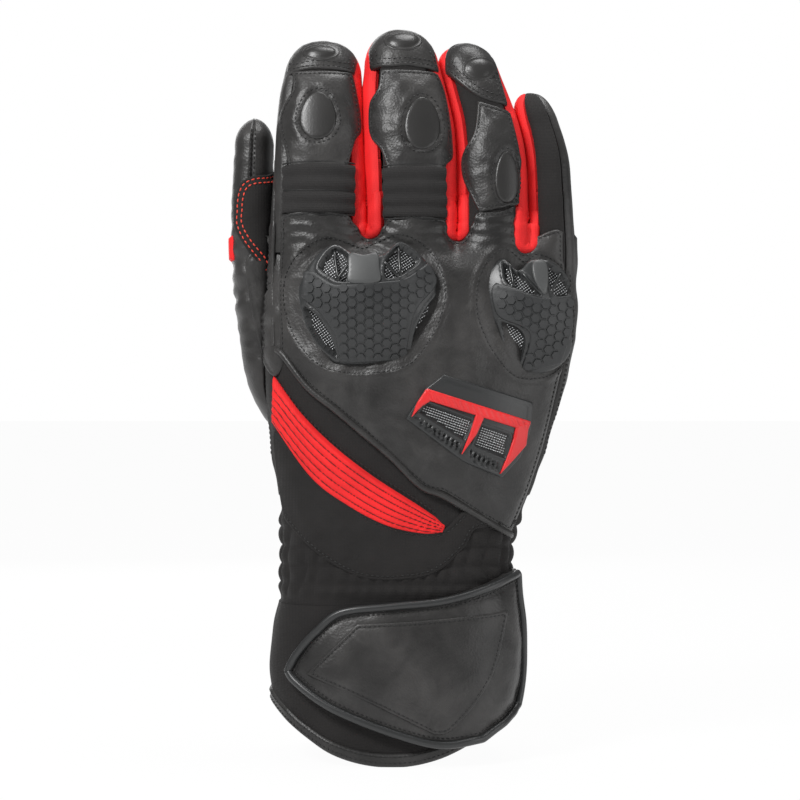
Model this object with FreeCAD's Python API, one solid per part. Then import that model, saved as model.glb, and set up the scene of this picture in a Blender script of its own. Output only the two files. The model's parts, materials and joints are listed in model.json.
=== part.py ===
"""Cold weather glove for the right hand, standing on its cuff with the fingers up.

Frame: +Z runs along the fingers, +X from the thumb to the little finger, +Y out of the palm.
The origin is in the middle of the hand's way in, level with the lowest point of the hem. Millimetres.

Every tube (cuff, hand, four fingers, thumb) is a row of superellipse sections. A panel is the part
of a tube between two angles and two offsets, so panels that are sewn together share their edges.
Where one tube turns on another, the moving one ends in a drum and the fixed one in a seat round it.
"""
import FreeCAD
import Part
import math
import os

from FreeCAD import Vector

# Walls, layers and clearances
finger_wall = 2.4        # leather and fabric of the fingers and thumb
hand_wall = 3.0          # leather and fabric of the hand and cuff
lining = 1.8             # warm lining
lining_gap = 0.3         # between the lining and the wall round it
running_gap = 0.5        # between a drum and its seat
drum_margin = 0.3        # how far a drum stands clear of the fold on the inside of a bend
seam_gap = 0.04          # degrees between two panels that are sewn together
tape_gap = 0.3           # between the hook tape and the loop tape
section_power = 2.5      # 2 gives ellipses, more gives squarer sections

# How far things turn, in degrees
knuckle_flex = 65.0
tip_flex = 50.0
thumb_swing = 30.0
thumb_flex = 45.0
wrist_bend = 25.0

# Panels round a finger, in degrees each side of the middle of its back or of its palm side
back_half_angle = 56.0
palm_half_angle = 58.0
halves = ((180 + seam_gap, 360 - seam_gap), (seam_gap, 180 - seam_gap))  # back and palm of the hand and cuff

# Hand: height, left edge, right edge, middle of the depth, half depth, drop of the little finger side
hand_sections = [
    (50.0, -45.0, 47.5, 0.0, 26.0, 0.0),
    (84.0, -43.6, 46.8, 0.0, 26.0, 0.0),
    (102.0, -44.5, 54.0, 0.0, 27.0, 2.0),
    (122.0, -48.0, 61.5, 0.0, 28.0, 4.0),
    (146.0, -50.5, 68.5, 0.0, 28.3, 7.0),
    (164.0, -50.5, 73.0, 0.0, 27.5, 8.0),
    (180.0, -49.0, 74.0, -0.5, 24.5, 9.0),
    (194.0, -48.2, 73.0, -0.8, 19.6, 9.0),
    (210.0, -48.0, 72.4, -1.0, 16.8, 9.0),
    (230.0, -48.0, 72.0, -1.0, 15.6, 9.0),
]
drop_start = -5.0        # x where the little finger side starts to drop towards the palm

# Cuff: height, left edge, right edge, middle of the depth, half depth, no drop
cuff_sections = [
    (-5.0, -49.5, 48.8, 0.0, 33.0, 0.0),
    (30.0, -49.2, 48.6, 0.0, 32.0, 0.0),
    (52.0, -47.5, 48.6, 0.0, 29.0, 0.0),
    (66.0, -45.6, 47.8, 0.0, 27.0, 0.0),
    (86.0, -43.6, 46.8, 0.0, 26.0, 0.0),
]
wrist_height = 86.0
gather_from = 60.0       # the gathered band at the wrist starts here
hem_radius = 60.0        # the hem is cut to an arc
hem_half_width = 54.0
binding_width = 4.4
binding_rise = 0.9
overlay_gap = binding_rise + 0.3    # the closing flap passes over the binding

# Fingers: middle of each section, half width, half depth
fingers = {
    "index": {
        "spine": [(-29.1, -1.0, 186.0, 18.4, 15.0), (-29.1, -1.0, 205.0, 18.5, 15.2),
                  (-28.6, -0.6, 221.0, 18.2, 15.2), (-28.6, 1.5, 237.0, 17.1, 14.8),
                  (-28.7, 5.0, 253.0, 16.4, 14.4), (-28.4, 8.0, 263.0, 15.8, 13.9),
                  (-27.9, 11.5, 272.0, 14.3, 12.8)],
        "dome": 12.0, "slab": (-62.0, -9.8),
    },
    "middle": {
        "spine": [(7.7, -2.0, 186.0, 17.0, 15.4), (7.7, -2.0, 205.0, 17.1, 15.6),
                  (7.7, -1.5, 219.0, 17.1, 15.6), (7.2, 0.4, 235.0, 17.5, 15.2),
                  (6.3, 3.8, 249.5, 17.5, 14.8), (4.9, 7.2, 262.0, 16.4, 14.2),
                  (4.0, 11.0, 274.0, 14.0, 12.8)],
        "dome": 15.5, "slab": (-9.8, 25.2),
    },
    "ring": {
        "spine": [(39.6, 1.0, 172.0, 13.8, 16.4), (39.6, 1.0, 189.0, 14.0, 16.6),
                  (39.6, 1.4, 204.0, 14.0, 16.4), (39.4, 2.6, 222.0, 13.8, 14.2),
                  (39.0, 5.0, 238.5, 13.5, 13.8), (37.2, 8.6, 251.0, 12.7, 13.2),
                  (30.4, 15.4, 274.0, 11.2, 11.6)],
        "dome": 10.5, "slab": (25.2, 54.0),
    },
    "little": {
        "spine": [(63.4, 5.0, 171.0, 9.0, 12.6), (63.4, 5.0, 188.0, 9.0, 12.8),
                  (63.3, 5.5, 203.0, 8.8, 12.8), (62.8, 6.6, 219.0, 8.4, 12.6),
                  (62.0, 9.0, 236.0, 8.2, 12.2), (60.6, 11.0, 244.0, 7.9, 11.6),
                  (58.4, 13.4, 252.0, 7.4, 11.0)],
        "dome": 14.0, "slab": (54.0, 92.0),
    },
}
knuckle_at = 2           # which section carries the knuckle hinge
tip_at = 4               # and which the fingertip hinge
dome_steps = (0.35, 0.62, 0.82, 0.94, 0.985)

thumb_spine = [(-41.4, 6.5, 116.0, 9.0, 13.0), (-46.0, 11.5, 136.0, 9.6, 14.4),
               (-50.6, 13.6, 158.0, 9.9, 14.6), (-54.6, 14.6, 180.0, 8.8, 14.4),
               (-56.6, 15.1, 201.0, 8.3, 14.0), (-56.6, 15.6, 223.0, 8.2, 13.6),
               (-56.0, 17.0, 243.0, 7.6, 12.4)]
thumb_swing_at = 3
thumb_tip_at = 5
thumb_dome = 11.5
thumb_reach = 14.0       # this much of the thumb above its swing hinge passes near the palm

# Padded knuckles: x, height, half width, half length; and how far they stand out
knuckle_pads = {"index": (-29.0, 253.0, 7.2, 9.8), "middle": (11.4, 249.0, 7.0, 10.6),
                "ring": (43.6, 227.0, 5.4, 10.4)}
tip_pads = {"index": (-28.4, 277.0, 7.2, 4.2), "middle": (4.2, 282.0, 7.4, 4.4),
            "ring": (31.6, 270.0, 5.6, 6.4)}
pad_rise = 2.4
glue_gap = 0.06          # between a pad and the leather that it is sewn to

# Stretch ribs over the first two knuckles
stretch_ribs = {"index": 211.0, "middle": 209.0}
rib_pitch = 4.7
rib_count = 4
rib_space = 0.3
rib_rise = 1.0

# Hard guards: outline in x and height, the dome that shapes them, and their vents
guards = {
    "large_knuckle_guard": {
        "outline": [(-25, 200.5), (-32, 196), (-37, 188), (-38, 179), (-34, 168), (-27, 159), (-19, 155.5),
                    (-8, 155), (3, 157), (9, 163), (14.5, 172), (17, 182), (14.5, 191), (9, 198.5), (2, 201.5),
                    (-5, 198), (-11, 195.5), (-18, 198)],
        "dome": (Vector(-10.6, 1.5, 178.6), (39.5, 37.0, 37.0)),
        "vents": [[(-30, 192), (-25, 198), (-19, 195), (-17, 189), (-23, 186)],
                  [(-4, 192), (1, 198), (7, 195.5), (11, 189.5), (4, 187)],
                  [(-35.5, 179), (-29, 172.5), (-25, 165.5), (-22.5, 158.5), (-30, 167)],
                  [(15, 182), (9.5, 175.5), (6, 168.5), (5.5, 161.5), (11.5, 169)]],
    },
    "small_knuckle_guard": {
        "outline": [(43, 196), (38, 190), (36, 181.5), (37, 172), (42, 161.5), (49, 153.5), (56.5, 153),
                    (64, 157), (69, 164), (70, 174), (68, 184), (63.5, 191), (57.5, 194), (51, 191)],
        "dome": (Vector(50.6, 14.5, 175.0), (33.0, 38.5, 38.0)),
        "vents": [[(42, 192), (47, 189.5), (51, 184.5), (49, 180.5), (41.5, 184)],
                  [(56, 191), (61, 188), (65, 183), (63, 179.5), (55.5, 182.5)],
                  [(38, 175.5), (42, 172.5), (45, 166), (45.5, 159), (41, 165)]],
    },
}
guard_lift = 0.4         # under a guard
mesh_thick = 0.8
mesh_share = 0.78        # size of a piece of mesh against its vent

# Moulded vent on the back of the hand, outlines in x and height
vent_outline = [(20, 151), (55, 140), (53, 129), (49, 118), (42, 110), (27.5, 116.5), (4.5, 133.5),
                (13, 145.5)]
vent_bar = [(13.5, 143.5), (51.5, 131.5), (50, 121), (43, 112.5), (44.5, 122), (32, 127), (27, 119.5),
            (24.5, 121), (27.5, 128.5), (15.5, 138.5), (9, 134.5)]
vent_windows = [[(14.5, 136.5), (26.5, 129), (24, 124.5), (11, 132.5)],
                [(32.5, 125.5), (43.5, 121.5), (42, 115), (29.5, 119)]]
vent_base_thick = 1.4
vent_frame_rise = 1.2

# Lower edge of the back leather, from the thumb side to the little finger side
lower_edge = [(-60.0, 172.0), (-45.0, 161.0), (-32.5, 146.0), (-12.5, 129.5), (11.0, 108.0), (20.5, 104.5),
              (48.0, 87.5), (58.0, 80.0)]
piping_width = 4.0
piping_rise = 1.4
rib_panel = [(-47, 150), (-35, 135.5), (-22.5, 123), (-7.5, 111.5), (10, 100), (21, 92), (19, 88.5),
             (11, 88.5), (-2.5, 91.5), (-17, 99.5), (-31.5, 110.5), (-48.5, 132)]
rib_panel_rise = 1.6

# Closing flap, outline in x and height
flap_outline = [(-40.0, 35.5), (-36.0, 44.0), (-29.0, 53.0), (-19.0, 60.0), (0.0, 63.0), (18.0, 64.5),
                (34.0, 69.0), (44.0, 74.0), (70.0, 76.0), (70.0, 36.0), (47.0, 19.0), (33.0, 8.5),
                (18.0, 7.0), (0.0, 11.5), (-22.0, 20.5), (-36.0, 30.0)]
flap_panel = [(-13.0, 54.0), (-31.5, 35.0), (16.0, 12.5), (22.0, 14.0), (38.0, 38.0), (42.0, 58.0)]
flap_root_y = -2.0       # the flap ends here, at its hinge
flap_thick = 2.2
flap_clearance = 0.8     # between the flap and the wrist that bends under it
flap_edge = 3.4
flap_edge_rise = 1.0
flap_panel_rise = 0.8
tape_from = (-26.0, 28.0)
tape_to = (0.0, 48.0)
tape_thick = 0.9

# Palm: patch and pad sewn on, outlines in x and height
palm_patch = [(-30, 160), (-36, 136), (-30, 112), (4, 104), (38, 112), (52, 138), (50, 160), (8, 168)]
heel_pad = [(14, 114), (38, 116), (45, 133), (34, 141), (18, 135)]
patch_thick = 0.9
heel_pad_rise = 3.0

# Red corners between the fingers
crotches = [(-9.8, 201.0), (25.2, 196.0), (54.0, 187.0)]
crotch_half_width = 3.4

far = 320.0              # longer than the glove


# Sections

def superellipse(angle):
    """Width and depth shares at an angle: 0 is +X, 90 is the palm side, 270 is the back."""
    c, s = math.cos(math.radians(angle)), math.sin(math.radians(angle))
    power = 2 / section_power
    return math.copysign(abs(c) ** power, c), math.copysign(abs(s) ** power, s)


def level_point(section, angle, offset):
    """A point on a level section of the hand or cuff, moved out by offset."""
    z, left, right, middle, half_depth, drop = section
    wide, deep = superellipse(angle)
    x = (left + right) / 2 + ((right - left) / 2 + offset) * wide
    share = max(0.0, (x - drop_start) / (right - drop_start))
    return Vector(x, middle + (half_depth + offset) * deep + drop * share ** 2, z)


def spine_direction(spine, i):
    """Unit vector along a spine, and the one across it towards the palm."""
    before, after = spine[max(i - 1, 0)], spine[min(i + 1, len(spine) - 1)]
    along = Vector(*after[:3]) - Vector(*before[:3])
    rise = Vector(0, along.y, along.z).normalize()
    return along.normalize(), Vector(0, rise.z, -rise.y)


def finger_stations(spine, dome):
    """Sections of a finger: middle, depth direction, half width, half depth, way up the round end."""
    stations = []
    for i, (x, y, z, half_width, half_depth) in enumerate(spine):
        stations.append((Vector(x, y, z), spine_direction(spine, i)[1], half_width, half_depth, 0.0, dome))
    along, inwards = spine_direction(spine, len(spine) - 1)
    for share in dome_steps:
        middle = Vector(x, y, z) + along * dome * share
        stations.append((middle, inwards, half_width, half_depth, dome * share, dome))
    return stations


def finger_point(station, angle, offset):
    """A point on a finger section, moved out by offset."""
    middle, inwards, half_width, half_depth, way, dome = station
    wide, deep = superellipse(angle)
    smallest = 0.02
    shrink = math.sqrt(max(smallest ** 2, 1 - (way / (dome + offset)) ** 2))
    across = Vector((half_width + offset) * shrink * wide, 0, 0)
    return middle + across + inwards * (half_depth + offset) * shrink * deep


def curve(points):
    """A smooth open curve through points."""
    spline = Part.BSplineCurve()
    spline.interpolate(Points=points)
    return spline.toShape()


def band(point_at, sections, start, end, low, high, steps=8):
    """The part of a tube between two angles and two offsets."""
    wires = []
    for section in sections:
        angles = [start + (end - start) * i / steps for i in range(steps + 1)]
        outer = [point_at(section, a, high) for a in angles]
        inner = [point_at(section, a, low) for a in angles][::-1]
        wires.append(Part.Wire([curve(outer), Part.makeLine(outer[-1], inner[0]), curve(inner),
                                Part.makeLine(inner[-1], outer[0])]))
    return Part.makeLoft(wires, True, True)


def tube(point_at, sections, offset, steps=20):
    """A whole tube as one solid."""
    wires = []
    for section in sections:
        spline = Part.BSplineCurve()
        spline.interpolate(Points=[point_at(section, 360 * i / steps, offset) for i in range(steps)],
                           PeriodicFlag=True)
        wires.append(Part.Wire(spline.toShape()))
    return Part.makeLoft(wires, True, True)


# Tools that cut panels

def prism(outline, smooth=True, front=True):
    """An outline in x and height, carried through the back half or the palm half of the glove."""
    points = [Vector(x, 0, z) for x, z in outline]
    if smooth:
        spline = Part.BSplineCurve()
        spline.interpolate(Points=points, PeriodicFlag=True)
        wire = Part.Wire(spline.toShape())
    else:
        wire = Part.makePolygon(points + points[:1])
    return Part.Face(wire).extrude(Vector(0, -far if front else far, 0))


def block(x_range=(-far, far), y_range=(-far, far), z_range=(-far, far)):
    """A box between two values on each axis."""
    corner = Vector(x_range[0], y_range[0], z_range[0])
    return Part.makeBox(x_range[1] - x_range[0], y_range[1] - y_range[0], z_range[1] - z_range[0], corner)


def drum_radius(half_depth, flex):
    """Radius that keeps the two walls of a hinge apart on the inside of the bend."""
    return half_depth / math.cos(math.radians(flex / 2)) + drum_margin


def hinge_zone(middle, along, across, axis, radius, half_depth, reach=140.0):
    """All that lies beyond a hinge, with the drum round it. The zone is as long as far along the axis."""
    back = math.sqrt(radius ** 2 - half_depth ** 2)
    wide = 70.0

    def at(u, v):
        return middle + across * u + along * v - axis * far / 2

    drum = Part.Arc(at(-half_depth, -back), at(0, -radius), at(half_depth, -back)).toShape()
    rest = Part.makePolygon([at(half_depth, -back), at(wide, -back), at(wide, reach), at(-wide, reach),
                             at(-wide, -back), at(-half_depth, -back)])
    return Part.Face(Part.Wire([drum, *rest.Edges])).extrude(axis * far)


def finger_hinge(spine, i, flex, gap):
    """The zone beyond a finger's hinge, grown by gap."""
    x, y, z, _, half_depth = spine[i]
    along, inwards = spine_direction(spine, i)
    rise = Vector(0, along.y, along.z).normalize()
    radius = drum_radius(half_depth, flex) + gap
    return hinge_zone(Vector(x, y, z), rise, inwards, Vector(1, 0, 0), radius, half_depth)


def swing_hinge(gap):
    """The zone beyond the thumb's swing hinge, grown by gap."""
    x, y, z, half_width, _ = thumb_spine[thumb_swing_at]
    radius = drum_radius(half_width, thumb_swing) + gap
    up, across, axis = Vector(0, 0, 1), Vector(1, 0, 0), Vector(0, 1, 0)
    return hinge_zone(Vector(x, y, z), up, across, axis, radius, half_width, 90.0)


def wrist_hinge(gap):
    """The zone of the hand beyond the wrist, grown by gap."""
    half_depth = cuff_sections[-1][4]
    radius = drum_radius(half_depth, wrist_bend) + gap
    middle = Vector(0, cuff_sections[-1][3], wrist_height)
    return hinge_zone(middle, Vector(0, 0, 1), Vector(0, 1, 0), Vector(1, 0, 0), radius, half_depth, far)


def hem_zone(lift):
    """All that lies above the curved hem, raised by lift."""
    rise = hem_radius - math.sqrt(hem_radius ** 2 - hem_half_width ** 2)
    left, right = Vector(-hem_half_width, 0, rise + lift), Vector(hem_half_width, 0, rise + lift)
    lower = Part.Arc(left, Vector(0, 0, lift), right).toShape()
    upper = Part.makePolygon([right, Vector(hem_half_width, 0, far), Vector(-hem_half_width, 0, far), left])
    face = Part.Face(Part.Wire([lower, *upper.Edges]))
    face.translate(Vector(0, -far / 2, 0))
    return face.extrude(Vector(0, far, 0))


def ellipsoid(centre, radii, lean=0.0):
    """An ellipsoid, leaned sideways by lean degrees."""
    matrix = FreeCAD.Matrix()
    matrix.scale(*radii)
    shape = Part.makeSphere(1.0).transformGeometry(matrix)
    shape.rotate(Vector(0, 0, 0), Vector(0, 1, 0), lean)
    shape.translate(centre)
    return shape


pieces = {}


def keep(name, *shapes):
    """Names a finished piece, made of the solids of one or more shapes, without crumbs."""
    smallest = 0.5
    solids = [s for shape in shapes for s in shape.Solids if s.Volume > smallest]
    pieces[name] = solids[0] if len(solids) == 1 else Part.makeCompound(solids)


# Fingers

def finger_bands(spine, dome):
    """Back, the two side walls and the palm side of a finger, from end to end."""
    stations = finger_stations(spine, dome)
    back, palm = back_half_angle, palm_half_angle
    edges = {"back": [(270 - back, 270 + back)], "palm": [(90 - palm, 90 + palm)],
             "sides": [(270 + back, 450 - palm), (90 + palm, 270 - back)]}
    return {name: [band(finger_point, stations, start + seam_gap, end - seam_gap, -finger_wall, 0.0)
                   for start, end in spans] for name, spans in edges.items()}


def back_pad(spine, dome, pad):
    """The part of an egg shaped pad that stands out of a finger's back."""
    x, z, half_width, half_length = pad
    stations = finger_stations(spine, dome)
    skin = tube(finger_point, stations, glue_gap)
    ray = Part.makeLine(Vector(x, -60, z), Vector(x, 60, z)).common(skin)
    top = ray.BoundBox.YMin
    grow = 1.13
    egg = ellipsoid(Vector(x, top + pad_rise, z), (half_width * grow, 2 * pad_rise, half_length * grow))
    return egg.cut(skin)


def stretch_rib(stations, z):
    """One stretch rib over a knuckle."""
    raised = band(finger_point, stations, 270 - back_half_angle + seam_gap, 270 + back_half_angle - seam_gap,
                  -finger_wall, rib_rise)
    return raised.common(block(z_range=(z, z + rib_pitch - rib_space)))


def build_finger(name):
    """Both moving lengths of a finger with its pads."""
    spine, dome = fingers[name]["spine"], fingers[name]["dome"]
    base_zone = finger_hinge(spine, knuckle_at, knuckle_flex, 0.0)
    tip_zone = finger_hinge(spine, tip_at, tip_flex, 0.0)
    tip_seat = finger_hinge(spine, tip_at, tip_flex, running_gap)
    for panel, bands in finger_bands(spine, dome).items():
        base = [b.common(base_zone).cut(tip_seat) for b in bands]
        if panel == "back" and name in stretch_ribs:
            start = stretch_ribs[name]
            stations = finger_stations(spine, dome)
            ribs = [stretch_rib(stations, start + i * rib_pitch) for i in range(rib_count)]
            keep(f"{name}_stretch_ribs", *ribs)
            window = block(z_range=(-far, start + rib_count * rib_pitch))
            base = [b.cut(window) for b in base]
        keep(f"{name}_base_{panel}", *base)
        keep(f"{name}_tip_{panel}", *[b.common(tip_zone) for b in bands])
    if name in knuckle_pads:
        pad = back_pad(spine, dome, knuckle_pads[name])
        hinge_height = spine[tip_at][2]
        on_base = knuckle_pads[name][1] < hinge_height - 5
        keep(f"{name}_knuckle_pad", pad.cut(tip_seat) if on_base else pad.common(tip_zone))
        keep(f"{name}_tip_pad", back_pad(spine, dome, tip_pads[name]))


# Hand

def hand_band(low, high, start=180, end=360, steps=14):
    return band(level_point, hand_sections, start, end, low, high, steps)


def hand_trim():
    """What the wrist, the fingers and the thumb take out of the hand."""
    cuts = []
    for finger in fingers.values():
        left, right = finger["slab"]
        overlap = 0.2
        seat = finger_hinge(finger["spine"], knuckle_at, knuckle_flex, running_gap)
        cuts.append(seat.common(block((left - overlap, right + overlap))))
    return cuts


def turned_thumb(shape, angle):
    """A copy of a piece of the thumb, swung outwards by angle."""
    x, y, z = thumb_spine[thumb_swing_at][:3]
    turned = shape.copy()
    turned.rotate(Vector(x, y, z), Vector(0, -1, 0), angle)
    return turned


def clear(shape, tools):
    for tool in tools:
        shape = shape.cut(tool)
    return shape


def build_hand():
    """Back and palm of the hand with everything sewn or fixed to them."""
    zone = wrist_hinge(0.0)
    cuts = hand_trim()
    thumb_stations = finger_stations(thumb_spine, thumb_dome)
    thumb_hollow = tube(finger_point, thumb_stations, -finger_wall)
    thumb_base = tube(finger_point, thumb_stations, running_gap).common(swing_hinge(running_gap))
    thumb_base = thumb_base.common(block(z_range=(-far, thumb_spine[thumb_swing_at][2] + thumb_reach)))
    thumb_path = [turned_thumb(thumb_base, share * thumb_swing) for share in (0.0, 0.35, 0.7, 1.05)]

    def trimmed(shape):
        shape = shape.common(zone)
        for cut in cuts:
            shape = shape.cut(cut)
        return shape

    below = prism(lower_edge + [(90.0, 20.0), (-90.0, 20.0)], smooth=False)
    back = trimmed(hand_band(-hand_wall, 0.0, *halves[0]))
    corners = []
    for x, z in crotches:
        corner = block((x - crotch_half_width, x + crotch_half_width), (-far, 0), (z, far))
        corners.append(back.common(corner))
        back = back.cut(corner)
    keep("finger_crotches", *corners)
    keep("back_leather", back.cut(below).cut(thumb_path[0]))
    keep("wrist_softshell", back.common(below))
    palm = trimmed(hand_band(-hand_wall, 0.0, *halves[1]))
    keep("palm_leather", clear(palm.cut(thumb_hollow), thumb_path))
    linings = []
    for span in halves:
        layer = trimmed(hand_band(-hand_wall - lining_gap - lining, -hand_wall - lining_gap, *span))
        linings.append(clear(layer.cut(thumb_hollow), thumb_path))
    keep("hand_lining", *linings)
    build_trims(trimmed)
    keep("silver_mesh", *build_guards(trimmed), *build_vent())
    build_palm()
    build_thumb(thumb_stations)


def build_trims(trimmed):
    """Rolled edge and red ribbed panel below the back leather."""
    piping = prism(lower_edge + [(x - 1.6, z - piping_width) for x, z in lower_edge[::-1]], smooth=False)
    raised = hand_band(0.0, piping_rise, 190, 350)
    keep("diagonal_piping", trimmed(raised.common(piping)))
    keep("red_rib_panel", hand_band(0.0, rib_panel_rise, 190, 350).common(prism(rib_panel)))


def build_guards(trimmed):
    """Hard knuckle guards. Returns the mesh under their vents."""
    bed = tube(level_point, hand_sections, guard_lift)
    layer = hand_band(0.0, mesh_thick)
    mesh = []
    for name, guard in guards.items():
        body = prism(guard["outline"]).common(ellipsoid(*guard["dome"])).cut(bed)
        for vent in guard["vents"]:
            hole = prism(vent)
            body = body.cut(hole)
            mesh.append(layer.common(prism(scaled(vent, mesh_share))))
        keep(name, trimmed(body))
    return mesh


def build_vent():
    """The moulded vent: base and red frame. Returns the mesh in its windows."""
    holes = [prism(w, smooth=False) for w in vent_windows]
    base = hand_band(0.0, vent_base_thick).common(prism(vent_outline, smooth=False))
    top = vent_base_thick + vent_frame_rise
    frame = hand_band(vent_base_thick, top).common(prism(vent_bar, smooth=False))
    mesh = [hand_band(0.0, mesh_thick).common(prism(shrunk(w, 0.3), smooth=False)) for w in vent_windows]
    for hole in holes:
        base = base.cut(hole)
        frame = frame.cut(hole)
    keep("vent_base", base)
    keep("vent_frame", frame)
    return mesh


def build_palm():
    """Patch and padded heel on the palm."""
    layer = hand_band(0.0, patch_thick, 10, 170)
    pad = prism(heel_pad, front=False)
    keep("palm_patch", layer.common(prism(palm_patch, front=False)).cut(pad))
    keep("palm_heel_pad", hand_band(0.0, heel_pad_rise, 10, 170).common(pad))


def scaled(outline, share):
    """An outline made smaller about its middle."""
    middle = [sum(values) / len(outline) for values in zip(*outline)]
    return [tuple(m + share * (v - m) for m, v in zip(middle, point)) for point in outline]


def shrunk(outline, amount):
    """An outline moved inwards, whichever way round it runs."""
    count = len(outline)
    area = sum(outline[i - 1][0] * outline[i][1] - outline[i][0] * outline[i - 1][1] for i in range(count))
    turn = math.copysign(amount, area)
    moved = []
    for i, (x, z) in enumerate(outline):
        before, after = outline[i - 1], outline[(i + 1) % count]
        dx, dz = after[0] - before[0], after[1] - before[1]
        size = math.hypot(dx, dz)
        moved.append((x - turn * dz / size, z + turn * dx / size))
    return moved


# Thumb

def build_thumb(stations):
    """The thumb's root on the hand and its two moving lengths."""
    swing_zone, swing_seat = swing_hinge(0.0), swing_hinge(running_gap)
    tip_zone = finger_hinge(thumb_spine, thumb_tip_at, thumb_flex, 0.0)
    tip_seat = finger_hinge(thumb_spine, thumb_tip_at, thumb_flex, running_gap)
    hand = tube(level_point, hand_sections, lining_gap)
    root = []
    for name, start, end in (("outer", 90, 270), ("inner", -90, 90)):
        half = band(finger_point, stations, start + seam_gap, end - seam_gap, -finger_wall, 0.0, 12)
        root.append(half.cut(swing_seat).cut(hand))
        moving = half.common(swing_zone)
        keep(f"thumb_base_{name}", moving.cut(tip_seat))
        keep(f"thumb_tip_{name}", moving.common(tip_zone))
    keep("thumb_root", *root)


# Cuff

def cuff_band(low, high, start=180, end=360, steps=14):
    return band(level_point, cuff_sections, start, end, low, high, steps)


def build_cuff():
    """Cuff wall, gathered wrist, hem binding, lining and loop tape."""
    seat = wrist_hinge(running_gap)
    above_hem, above_binding = hem_zone(0.0), hem_zone(binding_width)
    gather = block(z_range=(gather_from, far))
    tape = block((tape_from[0], tape_to[0]), (-far, 0), (tape_from[1], tape_to[1]))
    walls, gathers, linings, bindings = [], [], [], []
    for span in halves:
        wall = cuff_band(-hand_wall, 0.0, *span).cut(seat)
        gathers.append(wall.common(gather))
        walls.append(wall.cut(gather).common(above_binding))
        binding = cuff_band(-hand_wall - binding_rise, binding_rise, *span)
        bindings.append(binding.common(above_hem).cut(above_binding))
        inner = cuff_band(-hand_wall - lining_gap - lining, -hand_wall - lining_gap, *span)
        linings.append(inner.cut(seat).common(hem_zone(binding_width + lining_gap)))
    loop_bed = cuff_band(-tape_thick, 0.0).common(tape)
    keep("gathered_wrist", *gathers)
    keep("cuff_shell", walls[0].cut(loop_bed), walls[1])
    keep("loop_tape", loop_bed)
    keep("hem_binding", *bindings)
    keep("cuff_lining", *linings)
    build_flap(tape)


def build_flap(tape):
    """The closing flap: leather, rolled edge, sewn panel and hook tape."""
    whole = prism(flap_outline, smooth=False).common(block(y_range=(-far, flap_root_y)))
    whole = whole.cut(wrist_hinge(flap_clearance))
    inside = prism(shrunk(flap_outline, flap_edge), smooth=False)
    top = overlay_gap + flap_thick
    leather = cuff_band(overlay_gap, top).common(whole).common(inside)
    edge = cuff_band(overlay_gap, top + flap_edge_rise).common(whole).cut(inside)
    hook = cuff_band(tape_gap, overlay_gap).common(tape)
    panel = cuff_band(top, top + flap_panel_rise).common(prism(flap_panel, smooth=False))
    keep("flap_leather", leather)
    keep("flap_piping", edge)
    keep("flap_panel", panel.common(inside))
    keep("hook_tape", hook)


def main():
    os.makedirs("parts", exist_ok=True)
    for name in fingers:
        build_finger(name)
    build_hand()
    build_cuff()
    for name, shape in pieces.items():
        shape.exportStep(f"parts/{name}.step")


if __name__ == "__main__":
    main()
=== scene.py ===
import json
import math
import bpy
import numpy as np
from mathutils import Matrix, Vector, noise
from mathutils.bvhtree import BVHTree
from mathutils.geometry import delaunay_2d_cdt


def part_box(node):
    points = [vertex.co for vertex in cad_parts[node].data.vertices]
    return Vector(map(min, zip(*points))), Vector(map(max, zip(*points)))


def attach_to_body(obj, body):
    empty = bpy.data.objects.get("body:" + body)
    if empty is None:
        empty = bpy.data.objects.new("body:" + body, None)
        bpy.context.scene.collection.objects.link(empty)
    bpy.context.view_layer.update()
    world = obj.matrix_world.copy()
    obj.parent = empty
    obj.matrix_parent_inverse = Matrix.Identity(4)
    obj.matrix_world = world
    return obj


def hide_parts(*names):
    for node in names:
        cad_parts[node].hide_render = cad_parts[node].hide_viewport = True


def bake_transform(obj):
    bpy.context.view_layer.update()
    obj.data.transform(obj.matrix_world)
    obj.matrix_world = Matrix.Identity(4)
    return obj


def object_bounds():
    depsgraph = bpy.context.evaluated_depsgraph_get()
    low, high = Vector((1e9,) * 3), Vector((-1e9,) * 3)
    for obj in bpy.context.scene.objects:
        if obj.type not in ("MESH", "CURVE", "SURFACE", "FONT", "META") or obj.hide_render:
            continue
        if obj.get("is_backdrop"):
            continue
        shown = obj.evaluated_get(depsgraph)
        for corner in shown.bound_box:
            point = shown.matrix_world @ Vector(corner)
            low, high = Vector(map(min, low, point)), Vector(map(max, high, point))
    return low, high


# A right-hand winter sports glove, dressed over its solids. Settings are in mm, with x to the right and z up.
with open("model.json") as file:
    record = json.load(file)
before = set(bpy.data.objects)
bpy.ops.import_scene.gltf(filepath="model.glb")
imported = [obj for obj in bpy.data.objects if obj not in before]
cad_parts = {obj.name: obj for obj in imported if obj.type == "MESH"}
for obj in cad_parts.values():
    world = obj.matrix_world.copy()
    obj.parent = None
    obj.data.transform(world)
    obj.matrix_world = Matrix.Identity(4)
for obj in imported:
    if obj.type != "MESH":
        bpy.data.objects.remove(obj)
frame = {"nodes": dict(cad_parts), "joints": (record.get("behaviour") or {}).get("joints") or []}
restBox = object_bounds()
fingers = ("index", "middle", "ring", "little")
unit = 1000.0            # shapes are worked out in millimetres


def jointPoint(name):
    found = [j for j in frame["joints"] if j["name"] == name][0]
    return np.array(found["pos_m"]) * unit


def boxOf(*nodes):
    boxes = [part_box(n) for n in nodes]
    low = np.min([np.array(b[0]) for b in boxes], axis=0) * unit
    high = np.max([np.array(b[1]) for b in boxes], axis=0) * unit
    return low, high


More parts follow.
